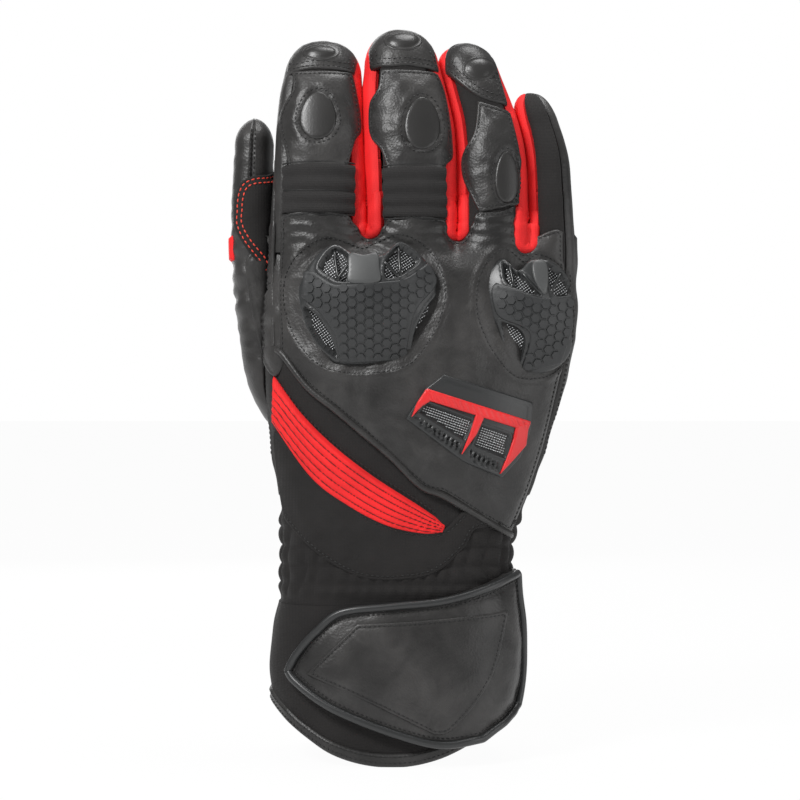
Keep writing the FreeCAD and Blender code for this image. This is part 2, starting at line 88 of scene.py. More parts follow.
def cadTree(*nodes):
    points, faces = [], []
    for name in nodes:
        mesh = frame["nodes"][name].data
        start = len(points)
        points += [v.co * unit for v in mesh.vertices]
        faces += [[start + i for i in p.vertices] for p in mesh.polygons]
    return BVHTree.FromPolygons(points, faces)


def smoothstep(a, b, x):
    t = np.clip((x - a) / (b - a), 0.0, 1.0)
    return t * t * (3 - 2 * t)


def unitRows(v):
    return v / np.maximum(np.linalg.norm(v, axis=-1, keepdims=True), 1e-9)


# Tubes: the smooth skin of each limb, read from its CAD nodes

def cubic(t):
    return (((-0.5 * t + 1.0) * t - 0.5) * t, (1.5 * t - 2.5) * t * t + 1.0,
            ((-1.5 * t + 2.0) * t + 0.5) * t, (0.5 * t - 0.5) * t * t)


# Rows of points round a limb. A place on it is a way along in mm and an angle in degrees.
class Tube:
    def __init__(self, points, ways):
        self.points, self.ways = points, ways

    def at(self, way, angle):
        rows, columns = self.points.shape[:2]
        i = np.interp(way, self.ways, np.arange(rows))
        j = np.mod(angle, 360.0) / 360.0 * columns
        i0, j0 = np.floor(i).astype(int), np.floor(j).astype(int)
        wi, wj = cubic(i - i0), cubic(j - j0)
        total = 0.0
        for a in range(4):
            row = np.clip(i0 + a - 1, 0, rows - 1)
            for b in range(4):
                column = np.mod(j0 + b - 1, columns)
                total = total + (wi[a] * wj[b])[..., None] * self.points[row, column]
        return total

    def normal(self, way, angle):
        along = self.at(way + 0.4, angle) - self.at(way - 0.4, angle)
        around = self.at(way, angle + 1.0) - self.at(way, angle - 1.0)
        return unitRows(np.cross(around, along))

    def tree(self, step=1.5, columns=120):
        ways = np.arange(self.ways[0], self.ways[-1] + step, step).clip(max=self.ways[-1])
        angles = np.arange(columns) * 360.0 / columns
        grid = self.at(ways[:, None] + 0 * angles, angles + 0 * ways[:, None])
        points = [Vector(p) for p in grid.reshape(-1, 3)]
        faces = []
        for i in range(len(ways) - 1):
            for j in range(columns):
                k = (j + 1) % columns
                faces.append((i * columns + j, i * columns + k, (i + 1) * columns + k, (i + 1) * columns + j))
        return BVHTree.FromPolygons(points, faces)


# Missing readings are taken from the nearest good rows, then from their neighbours
def fillGaps(r):
    rows = np.arange(len(r))
    for column in r.T:
        good = np.isfinite(column)
        if good.sum() > len(column) // 3:
            column[~good] = np.interp(rows[~good], rows[good], column[good])
    for _ in range(60):
        bad = ~np.isfinite(r)
        if not bad.any():
            break
        above, below = np.vstack([r[:1], r[:-1]]), np.vstack([r[1:], r[-1:]])
        around = np.stack([np.roll(r, 1, 1), np.roll(r, -1, 1), above, below])
        r[bad] = np.nanmean(around, axis=0)[bad]
    return r


# Takes out hinge gaps and steps, then smooths
def settle(r, median=2, passes=4):
    padded = np.pad(r, ((median, median), (0, 0)), mode="edge")
    r = np.median(np.stack([padded[i:i + len(r)] for i in range(2 * median + 1)]), axis=0)
    for _ in range(passes):
        padded = np.pad(r, ((1, 1), (0, 0)), mode="edge")
        r = 0.25 * padded[:-2] + 0.5 * padded[1:-1] + 0.25 * padded[2:]
        r = 0.25 * np.roll(r, 1, 1) + 0.5 * r + 0.25 * np.roll(r, -1, 1)
    return r


# Casts rays at a limb from outside, in planes across its middle line, then fans over its end
def readTube(tree, centres, tangents, halfSize, columns=72, dome=0, passes=4):
    angles = np.radians(np.arange(columns) * 360.0 / columns)
    directions, origins, ways = [], [], [0.0]
    for i, (c, t) in enumerate(zip(centres, tangents)):
        side = unitRows(np.array([1.0, 0, 0]) - t * t[0])
        inwards = np.cross(t, side)
        across, back = np.cos(angles)[:, None] * side * halfSize[0], np.sin(angles)[:, None] * inwards * halfSize[1]
        flat = unitRows(across + back)
        directions.append(flat)
        origins.append(c)
        if i:
            ways.append(ways[-1] + float(np.linalg.norm(c - centres[i - 1])))
    for k in range(1, dome + 1):
        turn = math.pi / 2 * k / dome
        directions.append(unitRows(flat * math.cos(turn) + t * math.sin(turn)))
        origins.append(c)
        ways.append(ways[-1] + math.pi / 2 / dome * 13.0)
    reach = 95.0
    r = np.full((len(origins), columns), np.nan)
    for i, (c, fan) in enumerate(zip(origins, directions)):
        for j, d in enumerate(fan):
            hit = tree.ray_cast(Vector(c + d * reach), Vector(-d), reach)
            if hit[0] is not None:
                r[i, j] = reach - hit[3]
    r = settle(fillGaps(r), passes=passes)
    points = np.array(origins)[:, None, :] + np.array(directions) * r[..., None]
    if dome:
        points[-1] = points[-1].mean(0)
    return Tube(points, np.array(ways))


# The middle of a limb at each level, from rays at its four sides
def levelMiddle(tree, start, levels):
    middle, found = np.array(start, float), []
    for z in levels:
        for _ in range(2):
            for axis in (0, 1):
                ends = []
                for sign in (-1.0, 1.0):
                    origin = Vector((middle[0], middle[1], z))
                    origin[axis] += sign * 40
                    way = Vector((0, 0, 0))
                    way[axis] = -sign
                    hit = tree.ray_cast(origin, way, 40)
                    if hit[0] is not None:
                        ends.append(hit[0][axis])
                if len(ends) == 2:
                    middle[axis] = sum(ends) / 2
        found.append((middle[0], middle[1], z))
    found = np.array(found)
    for _ in range(6):
        found[1:-1] = 0.25 * found[:-2] + 0.5 * found[1:-1] + 0.25 * found[2:]
    return found


# How the limbs are read, in mm: the space between levels, the round end's size and rows, and how deep rays reach
skinLook = {"step": 2.0, "fingerDome": 12.5, "thumbDome": 11.4, "domeRows": 9, "fingerDepth": 14.0, "rootBelow": 34,
            "thumbHalf": (9.0, 14.0), "thumbRootShare": 0.35, "thumbRootShift": 9.0,
            "handStep": 3.0, "handTop": 213.0, "handHalf": (54.0, 27.0), "handColumns": 120, "handTopFade": 0.72}


def readFinger(name):
    nodes = [f"{name}_{part}_{side}" for part in ("base", "tip") for side in ("back", "sides", "palm")]
    tree = cadTree(*nodes)
    low, high = boxOf(*nodes)
    knuckle, tip = jointPoint(f"{name}_knuckle"), jointPoint(f"{name}_tip_flex")
    step, rows = skinLook["step"], skinLook["domeRows"]
    levels = np.arange(knuckle[2] - 6, high[2] - skinLook["fingerDome"] + 0.1, step)
    middle = levelMiddle(tree, knuckle[:2], levels)
    below = np.arange(knuckle[2] - skinLook["rootBelow"], knuckle[2] - 6.5, step)
    middle = np.vstack([np.column_stack([np.full(len(below), middle[0, 0]), np.full(len(below), middle[0, 1]), below]),
                        middle])
    tangents = unitRows(np.gradient(middle, axis=0))
    for _ in range(4):
        tangents[1:-1] = unitRows(tangents[:-2] + 2 * tangents[1:-1] + tangents[2:])
    half = (high - low) / 2
    tube = readTube(tree, middle, tangents, (half[0], skinLook["fingerDepth"]), dome=rows)
    tube.knuckle = float(np.interp(knuckle[2], middle[:, 2], tube.ways[:len(middle)]))
    tube.tip = float(np.interp(tip[2], middle[:, 2], tube.ways[:len(middle)]))
    tube.domeAt = tube.ways[len(middle) - 1]
    tube.end = tube.ways[-1]
    return tube


tubes = {name: readFinger(name) for name in fingers}

thumbTree = cadTree("thumb_root", "thumb_base_outer", "thumb_base_inner", "thumb_tip_outer", "thumb_tip_inner")
thumbTop = boxOf("thumb_tip_outer", "thumb_tip_inner")[1][2]
swingAt, flexAt = jointPoint("thumb_swing"), jointPoint("thumb_flex")
rootLow = boxOf("thumb_root")[0]
thumbStart = np.array([rootLow[0] + 12.5, swingAt[1] - 8, rootLow[2] - 4])
thumbLevels = np.arange(thumbStart[2], thumbTop - skinLook["thumbDome"], skinLook["step"])
guide = np.array([thumbStart, [swingAt[0] + 4.2, swingAt[1] - 0.8, swingAt[2] - 22], swingAt, flexAt,
                  flexAt + np.array([0.6, 1.4, 20.0])])
thumbMiddle = np.column_stack([np.interp(thumbLevels, guide[:, 2], guide[:, 0]),
                               np.interp(thumbLevels, guide[:, 2], guide[:, 1]), thumbLevels])
for _ in range(12):
    thumbMiddle[1:-1] = 0.25 * thumbMiddle[:-2] + 0.5 * thumbMiddle[1:-1] + 0.25 * thumbMiddle[2:]
thumbTangent = unitRows(np.gradient(thumbMiddle, axis=0))
thumb = readTube(thumbTree, thumbMiddle, thumbTangent, skinLook["thumbHalf"], dome=skinLook["domeRows"])
share = skinLook["thumbRootShare"]      # the root narrows and moves into the hand at its lower end
narrow = share + (1 - share) * smoothstep(0.0, 42.0, thumb.ways)[:, None, None]
thumb.points = thumb.points.mean(axis=1, keepdims=True) * (1 - narrow) + thumb.points * narrow
thumb.points[..., 0] += skinLook["thumbRootShift"] * (1 - smoothstep(0.0, 38.0, thumb.ways))[:, None]
thumb.swing = float(np.interp(swingAt[2], thumbMiddle[:, 2], thumb.ways[:len(thumbMiddle)]))
thumb.flex = float(np.interp(flexAt[2], thumbMiddle[:, 2], thumb.ways[:len(thumbMiddle)]))
thumb.domeAt = thumb.ways[len(thumbMiddle) - 1]
thumb.end = thumb.ways[-1]
tubes["thumb"] = thumb

gatherBox, palmBox, wristAt = boxOf("gathered_wrist"), boxOf("palm_leather"), jointPoint("wrist_bend")
handLevels = np.arange(-skinLook["handStep"], skinLook["handTop"], skinLook["handStep"])
handMiddle = np.column_stack([
    np.interp(handLevels, [wristAt[2] + 4, 165.0], [(gatherBox[0][0] + gatherBox[1][0]) / 2,
                                                    (palmBox[0][0] + palmBox[1][0]) / 2]),
    np.zeros(len(handLevels)), handLevels])
handTree = cadTree("cuff_shell", "gathered_wrist", "back_leather", "wrist_softshell", "palm_leather", "finger_crotches")
upright = np.tile([0.0, 0.0, 1.0], (len(handLevels), 1))
hand = readTube(handTree, handMiddle, upright, skinLook["handHalf"], columns=skinLook["handColumns"], passes=3)
hand.ways = handLevels
hand.points[..., 1] *= (1.0 - skinLook["handTopFade"] * smoothstep(190.0, 214.0, handLevels))[:, None]
tubes["hand"] = hand
skins = {name: tube.tree() for name, tube in tubes.items()}
print("skins read:", {n: tuple(t.points.shape[:2]) for n, t in tubes.items()})


# Materials

def nodeTree(name, base, roughness, sheen=0.0, coat=0.0, metallic=0.0, specular=0.5, sheenTint=None,
             coatRoughness=0.2):
    material = bpy.data.materials.new(name)
    material.use_nodes = True
    tree = material.node_tree
    shader = tree.nodes["Principled BSDF"]
    shader.inputs["Base Color"].default_value = (*base, 1)
    shader.inputs["Roughness"].default_value = roughness
    shader.inputs["Metallic"].default_value = metallic
    shader.inputs["Specular IOR Level"].default_value = specular
    shader.inputs["Sheen Weight"].default_value = sheen
    shader.inputs["Sheen Roughness"].default_value = 0.45
    if sheenTint:
        shader.inputs["Sheen Tint"].default_value = (*sheenTint, 1)
    shader.inputs["Coat Weight"].default_value = coat
    shader.inputs["Coat Roughness"].default_value = coatRoughness
    return material, tree, shader


def add(tree, kind, **values):
    node = tree.nodes.new(kind)
    for key, value in values.items():
        if key in node.inputs.keys():
            node.inputs[key].default_value = value
        else:
            setattr(node, key, value)
    return node


def place(tree):
    return add(tree, "ShaderNodeTexCoord").outputs["Object"]


def ramp(tree, source, stops):
    node = add(tree, "ShaderNodeValToRGB")
    while len(node.color_ramp.elements) < len(stops):
        node.color_ramp.elements.new(0.5)
    for element, (at, colour) in zip(node.color_ramp.elements, stops):
        element.position, element.color = at, (*colour, 1)
    tree.links.new(source, node.inputs["Fac"])
    return node.outputs["Color"]


def bump(tree, shader, height, strength, distance, normal=None):
    node = add(tree, "ShaderNodeBump", Strength=strength, Distance=distance)
    tree.links.new(height, node.inputs["Height"])
    if normal is not None:
        tree.links.new(normal, node.inputs["Normal"])
    tree.links.new(node.outputs["Normal"], shader.inputs["Normal"])
    return node.outputs["Normal"]


def shadeOf(colour, factor):
    return tuple(c * factor for c in colour)


# Grained leather: small pebbles of two sizes, long soft creases and worn lighter tops
def leatherMaterial(name, colour, roughness, grain, wear, sheen):
    material, tree, shader = nodeTree(name, colour, roughness, sheen=sheen, specular=0.42)
    at = place(tree)
    pebbles = add(tree, "ShaderNodeTexVoronoi", feature="F1", Scale=grain)
    fine = add(tree, "ShaderNodeTexNoise", Scale=grain * 2.1, Detail=3.0)
    creases = add(tree, "ShaderNodeTexNoise", Scale=95.0, Detail=6.0, Roughness=0.62, Distortion=0.7)
    patches = add(tree, "ShaderNodeTexNoise", Scale=34.0, Detail=4.0)
    for node in (pebbles, fine, creases, patches):
        tree.links.new(at, node.inputs["Vector"])
    worn = add(tree, "ShaderNodeMath", operation="MULTIPLY_ADD")
    tree.links.new(creases.outputs["Fac"], worn.inputs[0])
    worn.inputs[1].default_value = 0.55
    tree.links.new(patches.outputs["Fac"], worn.inputs[2])
    stops = [(0.55, shadeOf(colour, 1 - wear)), (0.78, colour), (1.0, shadeOf(colour, 1 + 1.6 * wear))]
    tone = ramp(tree, worn.outputs[0], stops)
    tree.links.new(tone, shader.inputs["Base Color"])
    first = bump(tree, shader, creases.outputs["Fac"], 0.2, 0.0010)
    second = bump(tree, shader, pebbles.outputs["Distance"], 0.24, 0.0003, first)
    bump(tree, shader, fine.outputs["Fac"], 0.14, 0.00018, second)
    return material


# Fine knitted or woven cloth: two crossing waves, with a soft mottled tone
def knitMaterial(name, colour, roughness, pitch, strength, sheen, tint=None):
    material, tree, shader = nodeTree(name, colour, roughness, sheen=sheen, sheenTint=tint, specular=0.25)
    at = place(tree)
    heights = []
    for direction in ("X", "Z"):
        wave = add(tree, "ShaderNodeTexWave", bands_direction=direction, Scale=pitch, Distortion=0.6)
        wave.inputs["Detail Scale"].default_value = 3.0
        tree.links.new(at, wave.inputs["Vector"])
        heights.append(wave.outputs["Fac"])
    both = add(tree, "ShaderNodeMath", operation="MULTIPLY")
    tree.links.new(heights[0], both.inputs[0])
    tree.links.new(heights[1], both.inputs[1])
    soft = add(tree, "ShaderNodeTexNoise", Scale=60.0, Detail=5.0)
    tree.links.new(at, soft.inputs["Vector"])
    tone = ramp(tree, soft.outputs["Fac"], [(0.3, shadeOf(colour, 0.82)), (0.7, shadeOf(colour, 1.1))])
    tree.links.new(tone, shader.inputs["Base Color"])
    bump(tree, shader, both.outputs[0], strength, 0.0003)
    return material


# Moulded rubber or hard plastic with a faint stipple
def mouldedMaterial(name, colour, roughness, coat, texture=0.0):
    material, tree, shader = nodeTree(name, colour, roughness, coat=coat, coatRoughness=0.26)
    at = place(tree)
    stipple = add(tree, "ShaderNodeTexNoise", Scale=1500.0, Detail=2.0)
    broad = add(tree, "ShaderNodeTexNoise", Scale=45.0, Detail=3.0)
    tree.links.new(at, stipple.inputs["Vector"])
    tree.links.new(at, broad.inputs["Vector"])
    tone = ramp(tree, broad.outputs["Fac"], [(0.3, shadeOf(colour, 0.9)), (0.7, shadeOf(colour, 1.12))])
    tree.links.new(tone, shader.inputs["Base Color"])
    bump(tree, shader, stipple.outputs["Fac"], texture, 0.00015)
    return material


materials = {
    "blackLeather": leatherMaterial("BlackLeather", (0.0275, 0.0264, 0.0257), 0.40, 1050.0, 0.52, 0.03),
    "palmLeather": leatherMaterial("PalmLeather", (0.027, 0.026, 0.0254), 0.56, 1350.0, 0.3, 0.05),
    "padLeather": mouldedMaterial("PadLeather", (0.023, 0.0222, 0.0215), 0.34, 0.0, 0.35),
    "redFabric": knitMaterial("RedFabric", (0.86, 0.022, 0.024), 0.66, 420.0, 0.25, 0.06, (1.0, 0.35, 0.3)),
    "softshell": knitMaterial("Softshell", (0.019, 0.0176, 0.0172), 0.8, 520.0, 0.5, 0.06),
    "stretch": knitMaterial("Stretch", (0.022, 0.0207, 0.0205), 0.72, 460.0, 0.5, 0.08),
    "boss": mouldedMaterial("Boss", (0.07, 0.072, 0.072), 0.42, 0.1, 0.2),
    "guard": mouldedMaterial("Guard", (0.025, 0.0262, 0.027), 0.5, 0.04, 0.3),
    "rubberTrim": mouldedMaterial("RubberTrim", (0.022, 0.023, 0.0235), 0.4, 0.15, 0.1),
    "redRubber": mouldedMaterial("RedRubber", (0.74, 0.018, 0.02), 0.42, 0.12, 0.15),
    "mesh": nodeTree("SilverMesh", (0.50, 0.51, 0.52), 0.34, metallic=0.85)[0],
    "fleece": knitMaterial("Fleece", (0.016, 0.016, 0.0165), 0.95, 240.0, 0.8, 0.3),
    "hookAndLoop": knitMaterial("HookAndLoop", (0.012, 0.012, 0.012), 0.9, 900.0, 0.9, 0.15),
    "thread": nodeTree("Thread", (0.006, 0.006, 0.006), 0.5, sheen=0.1)[0],
    "redThread": nodeTree("RedThread", (0.80, 0.06, 0.03), 0.55, sheen=0.1)[0],
    # Near-black painted shade, put in the vent hollows and in the folds of the pleats and ribs
    "dark": nodeTree("VentDark", (0.004, 0.004, 0.004), 0.6)[0],
    "gloss": mouldedMaterial("GlossRim", (0.012, 0.013, 0.013), 0.3, 0.2, 0.0),
}


print("materials made:", len(materials))


# Meshes

def makeObject(name, points, faces, material):
    mesh = bpy.data.meshes.new(name)
    mesh.from_pydata([tuple(float(c) / unit for c in p) for p in points], [],
                     [tuple(int(i) for i in f) for f in faces])
    mesh.validate()
    mesh.polygons.foreach_set("use_smooth", np.ones(len(mesh.polygons), bool))
    mesh.materials.append(materials[material])
    mesh.update()
    obj = bpy.data.objects.new(name, mesh)
    bpy.context.scene.collection.objects.link(obj)
    return obj


# A sheet with a face on both sides and walls round its rim. The rim's corners shade as corners.
def closedSheet(name, top, faces, normals, depth, material, bottom=None):
    count = len(top)
    faces = [tuple(int(i) for i in f) for f in faces]
    used = {}
    for f in faces:
        for a, b in zip(f, f[1:] + f[:1]):
            used[(a, b)] = used.get((a, b), 0) + 1
    rim = [(a, b) for (a, b) in used if (b, a) not in used]
    points = np.vstack([top, top - normals * depth if bottom is None else bottom])
    both = faces + [tuple(count + i for i in f[::-1]) for f in faces]
    both += [(b, a, a + count, b + count) for a, b in rim]
    made = makeObject(name, points, both, material)
    corners = {frozenset(edge) for edge in rim} | {frozenset((a + count, b + count)) for a, b in rim}
    sharp = made.data.attributes.new("sharp_edge", "BOOLEAN", "EDGE")
    sharp.data.foreach_set("value", [frozenset(edge.vertices) in corners for edge in made.data.edges])
    return made


# Puts a piece on its body, given by name. Given (a, b, start, end) in mm instead, it leaves the piece fixed where it
# stands, with its place baked in
def attach(obj, spec, *nodes, fill=None):
    if isinstance(spec, str):
        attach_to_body(obj, spec)
    else:
        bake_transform(obj)
    if nodes:
        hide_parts(*nodes)
    return obj


# Soft random height at each point, in mm
def ripple(points, size, amount, seed=0.0, stretch=(1.0, 1.0, 1.0)):
    scaled = points / size * np.array(stretch)
    return amount * np.array([noise.noise(Vector((p[0] + seed, p[1] - seed, p[2] + 3.7 * seed))) for p in scaled])


# Part of a tube between two ways and two angles, with rolled edges. lift(share along, share round, points)
# gives its height. rolled says which edges turn in: start, end, first angle, last angle.
def patch(name, tube, ways, angles, lift, material, depth=1.6, step=1.4, roll=1.0, rolled=(1, 1, 1, 1)):
    length = ways[1] - ways[0]
    ring = tube.at(np.full(20, sum(ways) / 2), np.linspace(*angles, 20))
    girth = float(np.linalg.norm(np.diff(ring, axis=0), axis=1).sum())
    closed = abs(angles[1] - angles[0]) >= 359.9
    n, m = max(4, int(length / step)), max(6, int(girth / step))
    u = np.linspace(0, 1, n + 1)
    v = np.linspace(0, 1, m + 1)[:m if closed else m + 1]
    way = (ways[0] + u * length)[:, None] + 0 * v
    angle = angles[0] + (angles[1] - angles[0]) * v + 0 * way
    base, normal = tube.at(way, angle), tube.normal(way, angle)
    sign = 1.0 if angles[1] > angles[0] else -1.0
    flatBase, flatNormal = base.reshape(-1, 3), normal.reshape(-1, 3)
    uu, vv = (u[:, None] + 0 * v).ravel(), (v + 0 * u[:, None]).ravel()
    height = lift(uu, vv, flatBase)
    edge = np.full(len(uu), 99.0)
    distances = (uu * length, (1 - uu) * length, vv * girth, (1 - vv) * girth)
    for on, distance in zip(rolled, distances[:2 if closed else 4]):
        if on:
            edge = np.minimum(edge, distance)
    inward = np.clip(edge / roll, 0, 1)
    height = height - roll * (1 - np.sqrt(np.clip(1 - (1 - inward) ** 2, 0, 1)))
    top = flatBase + flatNormal * height[:, None]
    columns = len(v)
    faces = []
    for i in range(n):
        for j in range(m):
            k = (j + 1) % columns
            quad = (i * columns + j, i * columns + k, (i + 1) * columns + k, (i + 1) * columns + j)
            faces.append(quad if sign > 0 else quad[::-1])
    return closedSheet(name, top, faces, flatNormal, depth, material)


# Lays flat outlines on the limbs, looking along a direction. Outlines are in x and height for the back.
class Drape:
    def __init__(self, look, limbs, soften=3.0):
        self.look = unitRows(np.array(look, float))
        self.up = unitRows(np.array([0, 0, 1.0]) - self.look * self.look[2])
        self.side = np.cross(self.up, -self.look)
        self.limbs, self.soften = limbs, soften

    def at(self, flat):
        flat = np.asarray(flat, float).reshape(-1, 2)
        origins = flat[:, :1] * self.side + flat[:, 1:] * self.up - self.look * 250
        depth = np.full((len(self.limbs), len(flat)), 1e3)
        look = Vector(self.look)
        for row, limb in enumerate(self.limbs):
            tree = skins[limb]
            for i, origin in enumerate(origins):
                hit = tree.ray_cast(Vector(origin), look, 500)
                if hit[0] is not None:
                    depth[row, i] = hit[3]
        least = depth.min(axis=0)
        blend = -self.soften * np.log(np.exp(-np.clip(depth - least, 0, 60) / self.soften).sum(axis=0))
        missing = least > 900
        if missing.any():
            good = np.where(~missing)[0]
            for i in np.where(missing)[0]:
                k = good[np.argmin(((flat[good] - flat[i]) ** 2).sum(axis=1))]
                blend[i], least[i] = blend[k], least[k]
        return origins + self.look * (least + blend)[:, None]

    def flat(self, points):
        points = np.asarray(points, float)
        return np.column_stack([points @ self.side, points @ self.up])


# A closed Catmull-Rom curve through points, evenly spaced. Corners stay sharp.
def smoothLoop(points, spacing=1.0, corners=()):
    points = np.asarray(points, float)
    count = len(points)
    out = []
    for i in range(count):
        p0, p1, p2, p3 = (points[(i + k) % count] for k in (-1, 0, 1, 2))
        if i in corners:
            p0 = p1 - (p2 - p1)
        if (i + 1) % count in corners:
            p3 = p2 + (p2 - p1)
        steps = max(2, int(np.linalg.norm(p2 - p1) / (spacing / 4)))
        t = np.arange(steps)[:, None] / steps
        out.append(0.5 * (2 * p1 + (p2 - p0) * t + (2 * p0 - 5 * p1 + 4 * p2 - p3) * t ** 2
                          + (3 * p1 - p0 - 3 * p2 + p3) * t ** 3))
    dense = np.vstack(out)
    ring = np.vstack([dense, dense[:1]])
    length = np.concatenate([[0], np.cumsum(np.linalg.norm(np.diff(ring, axis=0), axis=1))])
    number = max(8, int(round(length[-1] / spacing)))
    at = np.linspace(0, length[-1], number, endpoint=False)
    return np.column_stack([np.interp(at, length, ring[:, k]) for k in (0, 1)])


def signedArea(loop):
    following = np.roll(loop, -1, axis=0)
    return 0.5 * float((loop[:, 0] * following[:, 1] - following[:, 0] * loop[:, 1]).sum())


# Distance from each point to a closed outline
def distanceTo(loop, points):
    best = np.full(len(points), 1e9)
    for a, b in zip(loop, np.roll(loop, -1, axis=0)):
        edge = b - a
        t = np.clip(((points - a) @ edge) / max(edge @ edge, 1e-9), 0, 1)
        best = np.minimum(best, np.linalg.norm(points - (a + t[:, None] * edge), axis=1))
    return best


def inside(loop, points):
    result = np.zeros(len(points), bool)
    for a, b in zip(loop, np.roll(loop, -1, axis=0)):
        crosses = (a[1] > points[:, 1]) != (b[1] > points[:, 1])
        with np.errstate(divide="ignore", invalid="ignore"):
            x = (b[0] - a[0]) * (points[:, 1] - a[1]) / (b[1] - a[1]) + a[0]
        result ^= crosses & (points[:, 0] < x)
    return result


# Directions that point out of a closed outline that runs anticlockwise
def outwards(loop):
    side = unitRows(np.roll(loop, -1, axis=0) - np.roll(loop, 1, axis=0))
    return np.column_stack([side[:, 1], -side[:, 0]])


# Points a fixed distance inside a closed outline, without loops
def insetLoop(loop, amount):
    if signedArea(loop) < 0:
        loop = loop[::-1]
    moved = loop - outwards(loop) * amount
    keep = (distanceTo(loop, moved) > amount * 0.93) & inside(loop, moved)
    return moved[keep]


def pointNormals(points, faces):
    faces = np.array(faces)
    a, b, c = points[faces[:, 0]], points[faces[:, 1]], points[faces[:, 2]]
    face = np.cross(b - a, c - a)
    normals = np.zeros_like(points)
    for k in range(3):
        np.add.at(normals, faces[:, k], face)
    normals = unitRows(normals)
    for _ in range(2):
        total = normals.copy()
        for i, j in ((0, 1), (1, 2), (2, 0)):
            np.add.at(total, faces[:, i], normals[faces[:, j]])
            np.add.at(total, faces[:, j], normals[faces[:, i]])
        normals = unitRows(total)
    return normals


# A sewn panel: an outline laid on the limbs, rolled at its edge, with a stitch groove and a soft surface
class Panel:
    def __init__(self, drape, outline, thick=1.0, roll=1.0, groove=1.3, puff=0.0, puffOver=6.0, grid=1.5,
                 crease=0.0, creaseSize=7.0, seed=1.0, stretch=(1, 1, 1), corners=(), shape=None, sink=0.6,
                 vents=(), ventDepth=2.0, solid=0.0):
        loop = smoothLoop(outline, 1.0, corners)
        if signedArea(loop) < 0:
            loop = loop[::-1]
        self.loop, self.drape = loop, drape
        sewn = groove < 5.0
        insets = (roll * 0.35, roll * 0.9) + ((groove, groove + 0.75) if sewn else ())
        rings = [loop] + [insetLoop(loop, inset) for inset in insets]
        self.vents = [smoothLoop(vent, 0.6, sharp) for vent, sharp in vents]
        self.vents = [vent if signedArea(vent) > 0 else vent[::-1] for vent in self.vents]
        for vent in self.vents:
            around = [vent + outwards(vent) * distance for distance in (1.5, 0.75, 0.2, -0.25)]
            rings += [ring[inside(loop, ring)] for ring in around]
        low, high = loop.min(axis=0), loop.max(axis=0)
        xs, zs = np.arange(low[0], high[0], grid), np.arange(low[1], high[1], grid * 0.88)
        cloud = np.array([(x + (grid / 2 if k % 2 else 0), z) for k, z in enumerate(zs) for x in xs])
        away = distanceTo(loop, cloud)
        cloud = cloud[inside(loop, cloud) & (away > (groove + 1.3 if sewn else roll * 0.9 + 0.35 * grid))]
        flat = np.vstack(rings + [cloud])
        count = len(loop)
        edges = [(i, (i + 1) % count) for i in range(count)]
        made = delaunay_2d_cdt([Vector(p) for p in flat], edges, [list(range(count))], 1, 1e-5)
        self.flatPoints = np.array([tuple(v) for v in made[0]])
        self.faces = [tuple(f) for f in made[2] if len(f) == 3]
        self.away = distanceTo(loop, self.flatPoints)
        self.base = drape.at(self.flatPoints)
        self.normals = pointNormals(self.base, self.faces)
        rounded = roll * (1 - np.sqrt(np.clip(1 - (1 - np.clip(self.away / roll, 0, 1)) ** 2, 0, 1)))
        self.height = thick - rounded - 0.32 * np.exp(-((self.away - groove) / 0.45) ** 2)
        self.height = self.height + puff * smoothstep(groove, groove + puffOver, self.away)
        if crease:
            fold = ripple(self.base, creaseSize, crease, seed, stretch)
            fold += ripple(self.base, creaseSize / 2.3, crease * 0.45, seed + 5)
            self.height = self.height + fold * smoothstep(0.6, 4.0, self.away)
        for vent in self.vents:
            gap = distanceTo(vent, self.flatPoints)
            gap = np.where(inside(vent, self.flatPoints), -gap, gap)
            lip = 0.45 * np.exp(-((gap - 0.8) / 0.42) ** 2)
            self.height = self.height - ventDepth * smoothstep(0.2, -0.25, gap) + lip
        if shape is not None:
            self.height = self.height + shape(self.flatPoints, self.away)
        self.top = self.base + self.normals * self.height[:, None]
        self.depth = thick + sink
        self.bottom = self.base - self.normals * solid if solid else None

    def build(self, name, material):
        made = closedSheet(name, self.top, self.faces, self.normals, self.depth, material, self.bottom)
        # Faces deep in the vents get the near-black material: painted shade in the vent hollows
        if self.vents:
            made.data.materials.append(materials["dark"])
            deep = self.height.max() - 0.7 * (self.height.max() - self.height.min())
            for polygon, face in zip(made.data.polygons, self.faces):
                polygon.material_index = int(max(self.height[list(face)]) < deep)
        return made

    # Points of the panel's top over flat points, with their normals
    def on(self, flat, lift=0.0):
        flat = np.asarray(flat, float)
        places, normals = [], []
        for p in flat:
            near = np.argpartition(((self.flatPoints - p) ** 2).sum(axis=1), 4)[:4]
            weight = 1 / (np.linalg.norm(self.flatPoints[near] - p, axis=1) + 0.05)
            weight /= weight.sum()
            normals.append(weight @ self.normals[near])
            places.append(weight @ self.height[near])
        normals = unitRows(np.array(normals))
        return self.drape.at(flat) + normals * (np.array(places) + lift)[:, None], normals


# Evenly spaced points along an open or closed row of points
def thin(points, spacing):
    length = np.concatenate([[0], np.cumsum(np.linalg.norm(np.diff(points, axis=0), axis=1))])
    number = max(2, int(length[-1] / spacing))
    at = np.linspace(0, length[-1], number)
    return np.column_stack([np.interp(at, length, points[:, k]) for k in range(points.shape[1])])


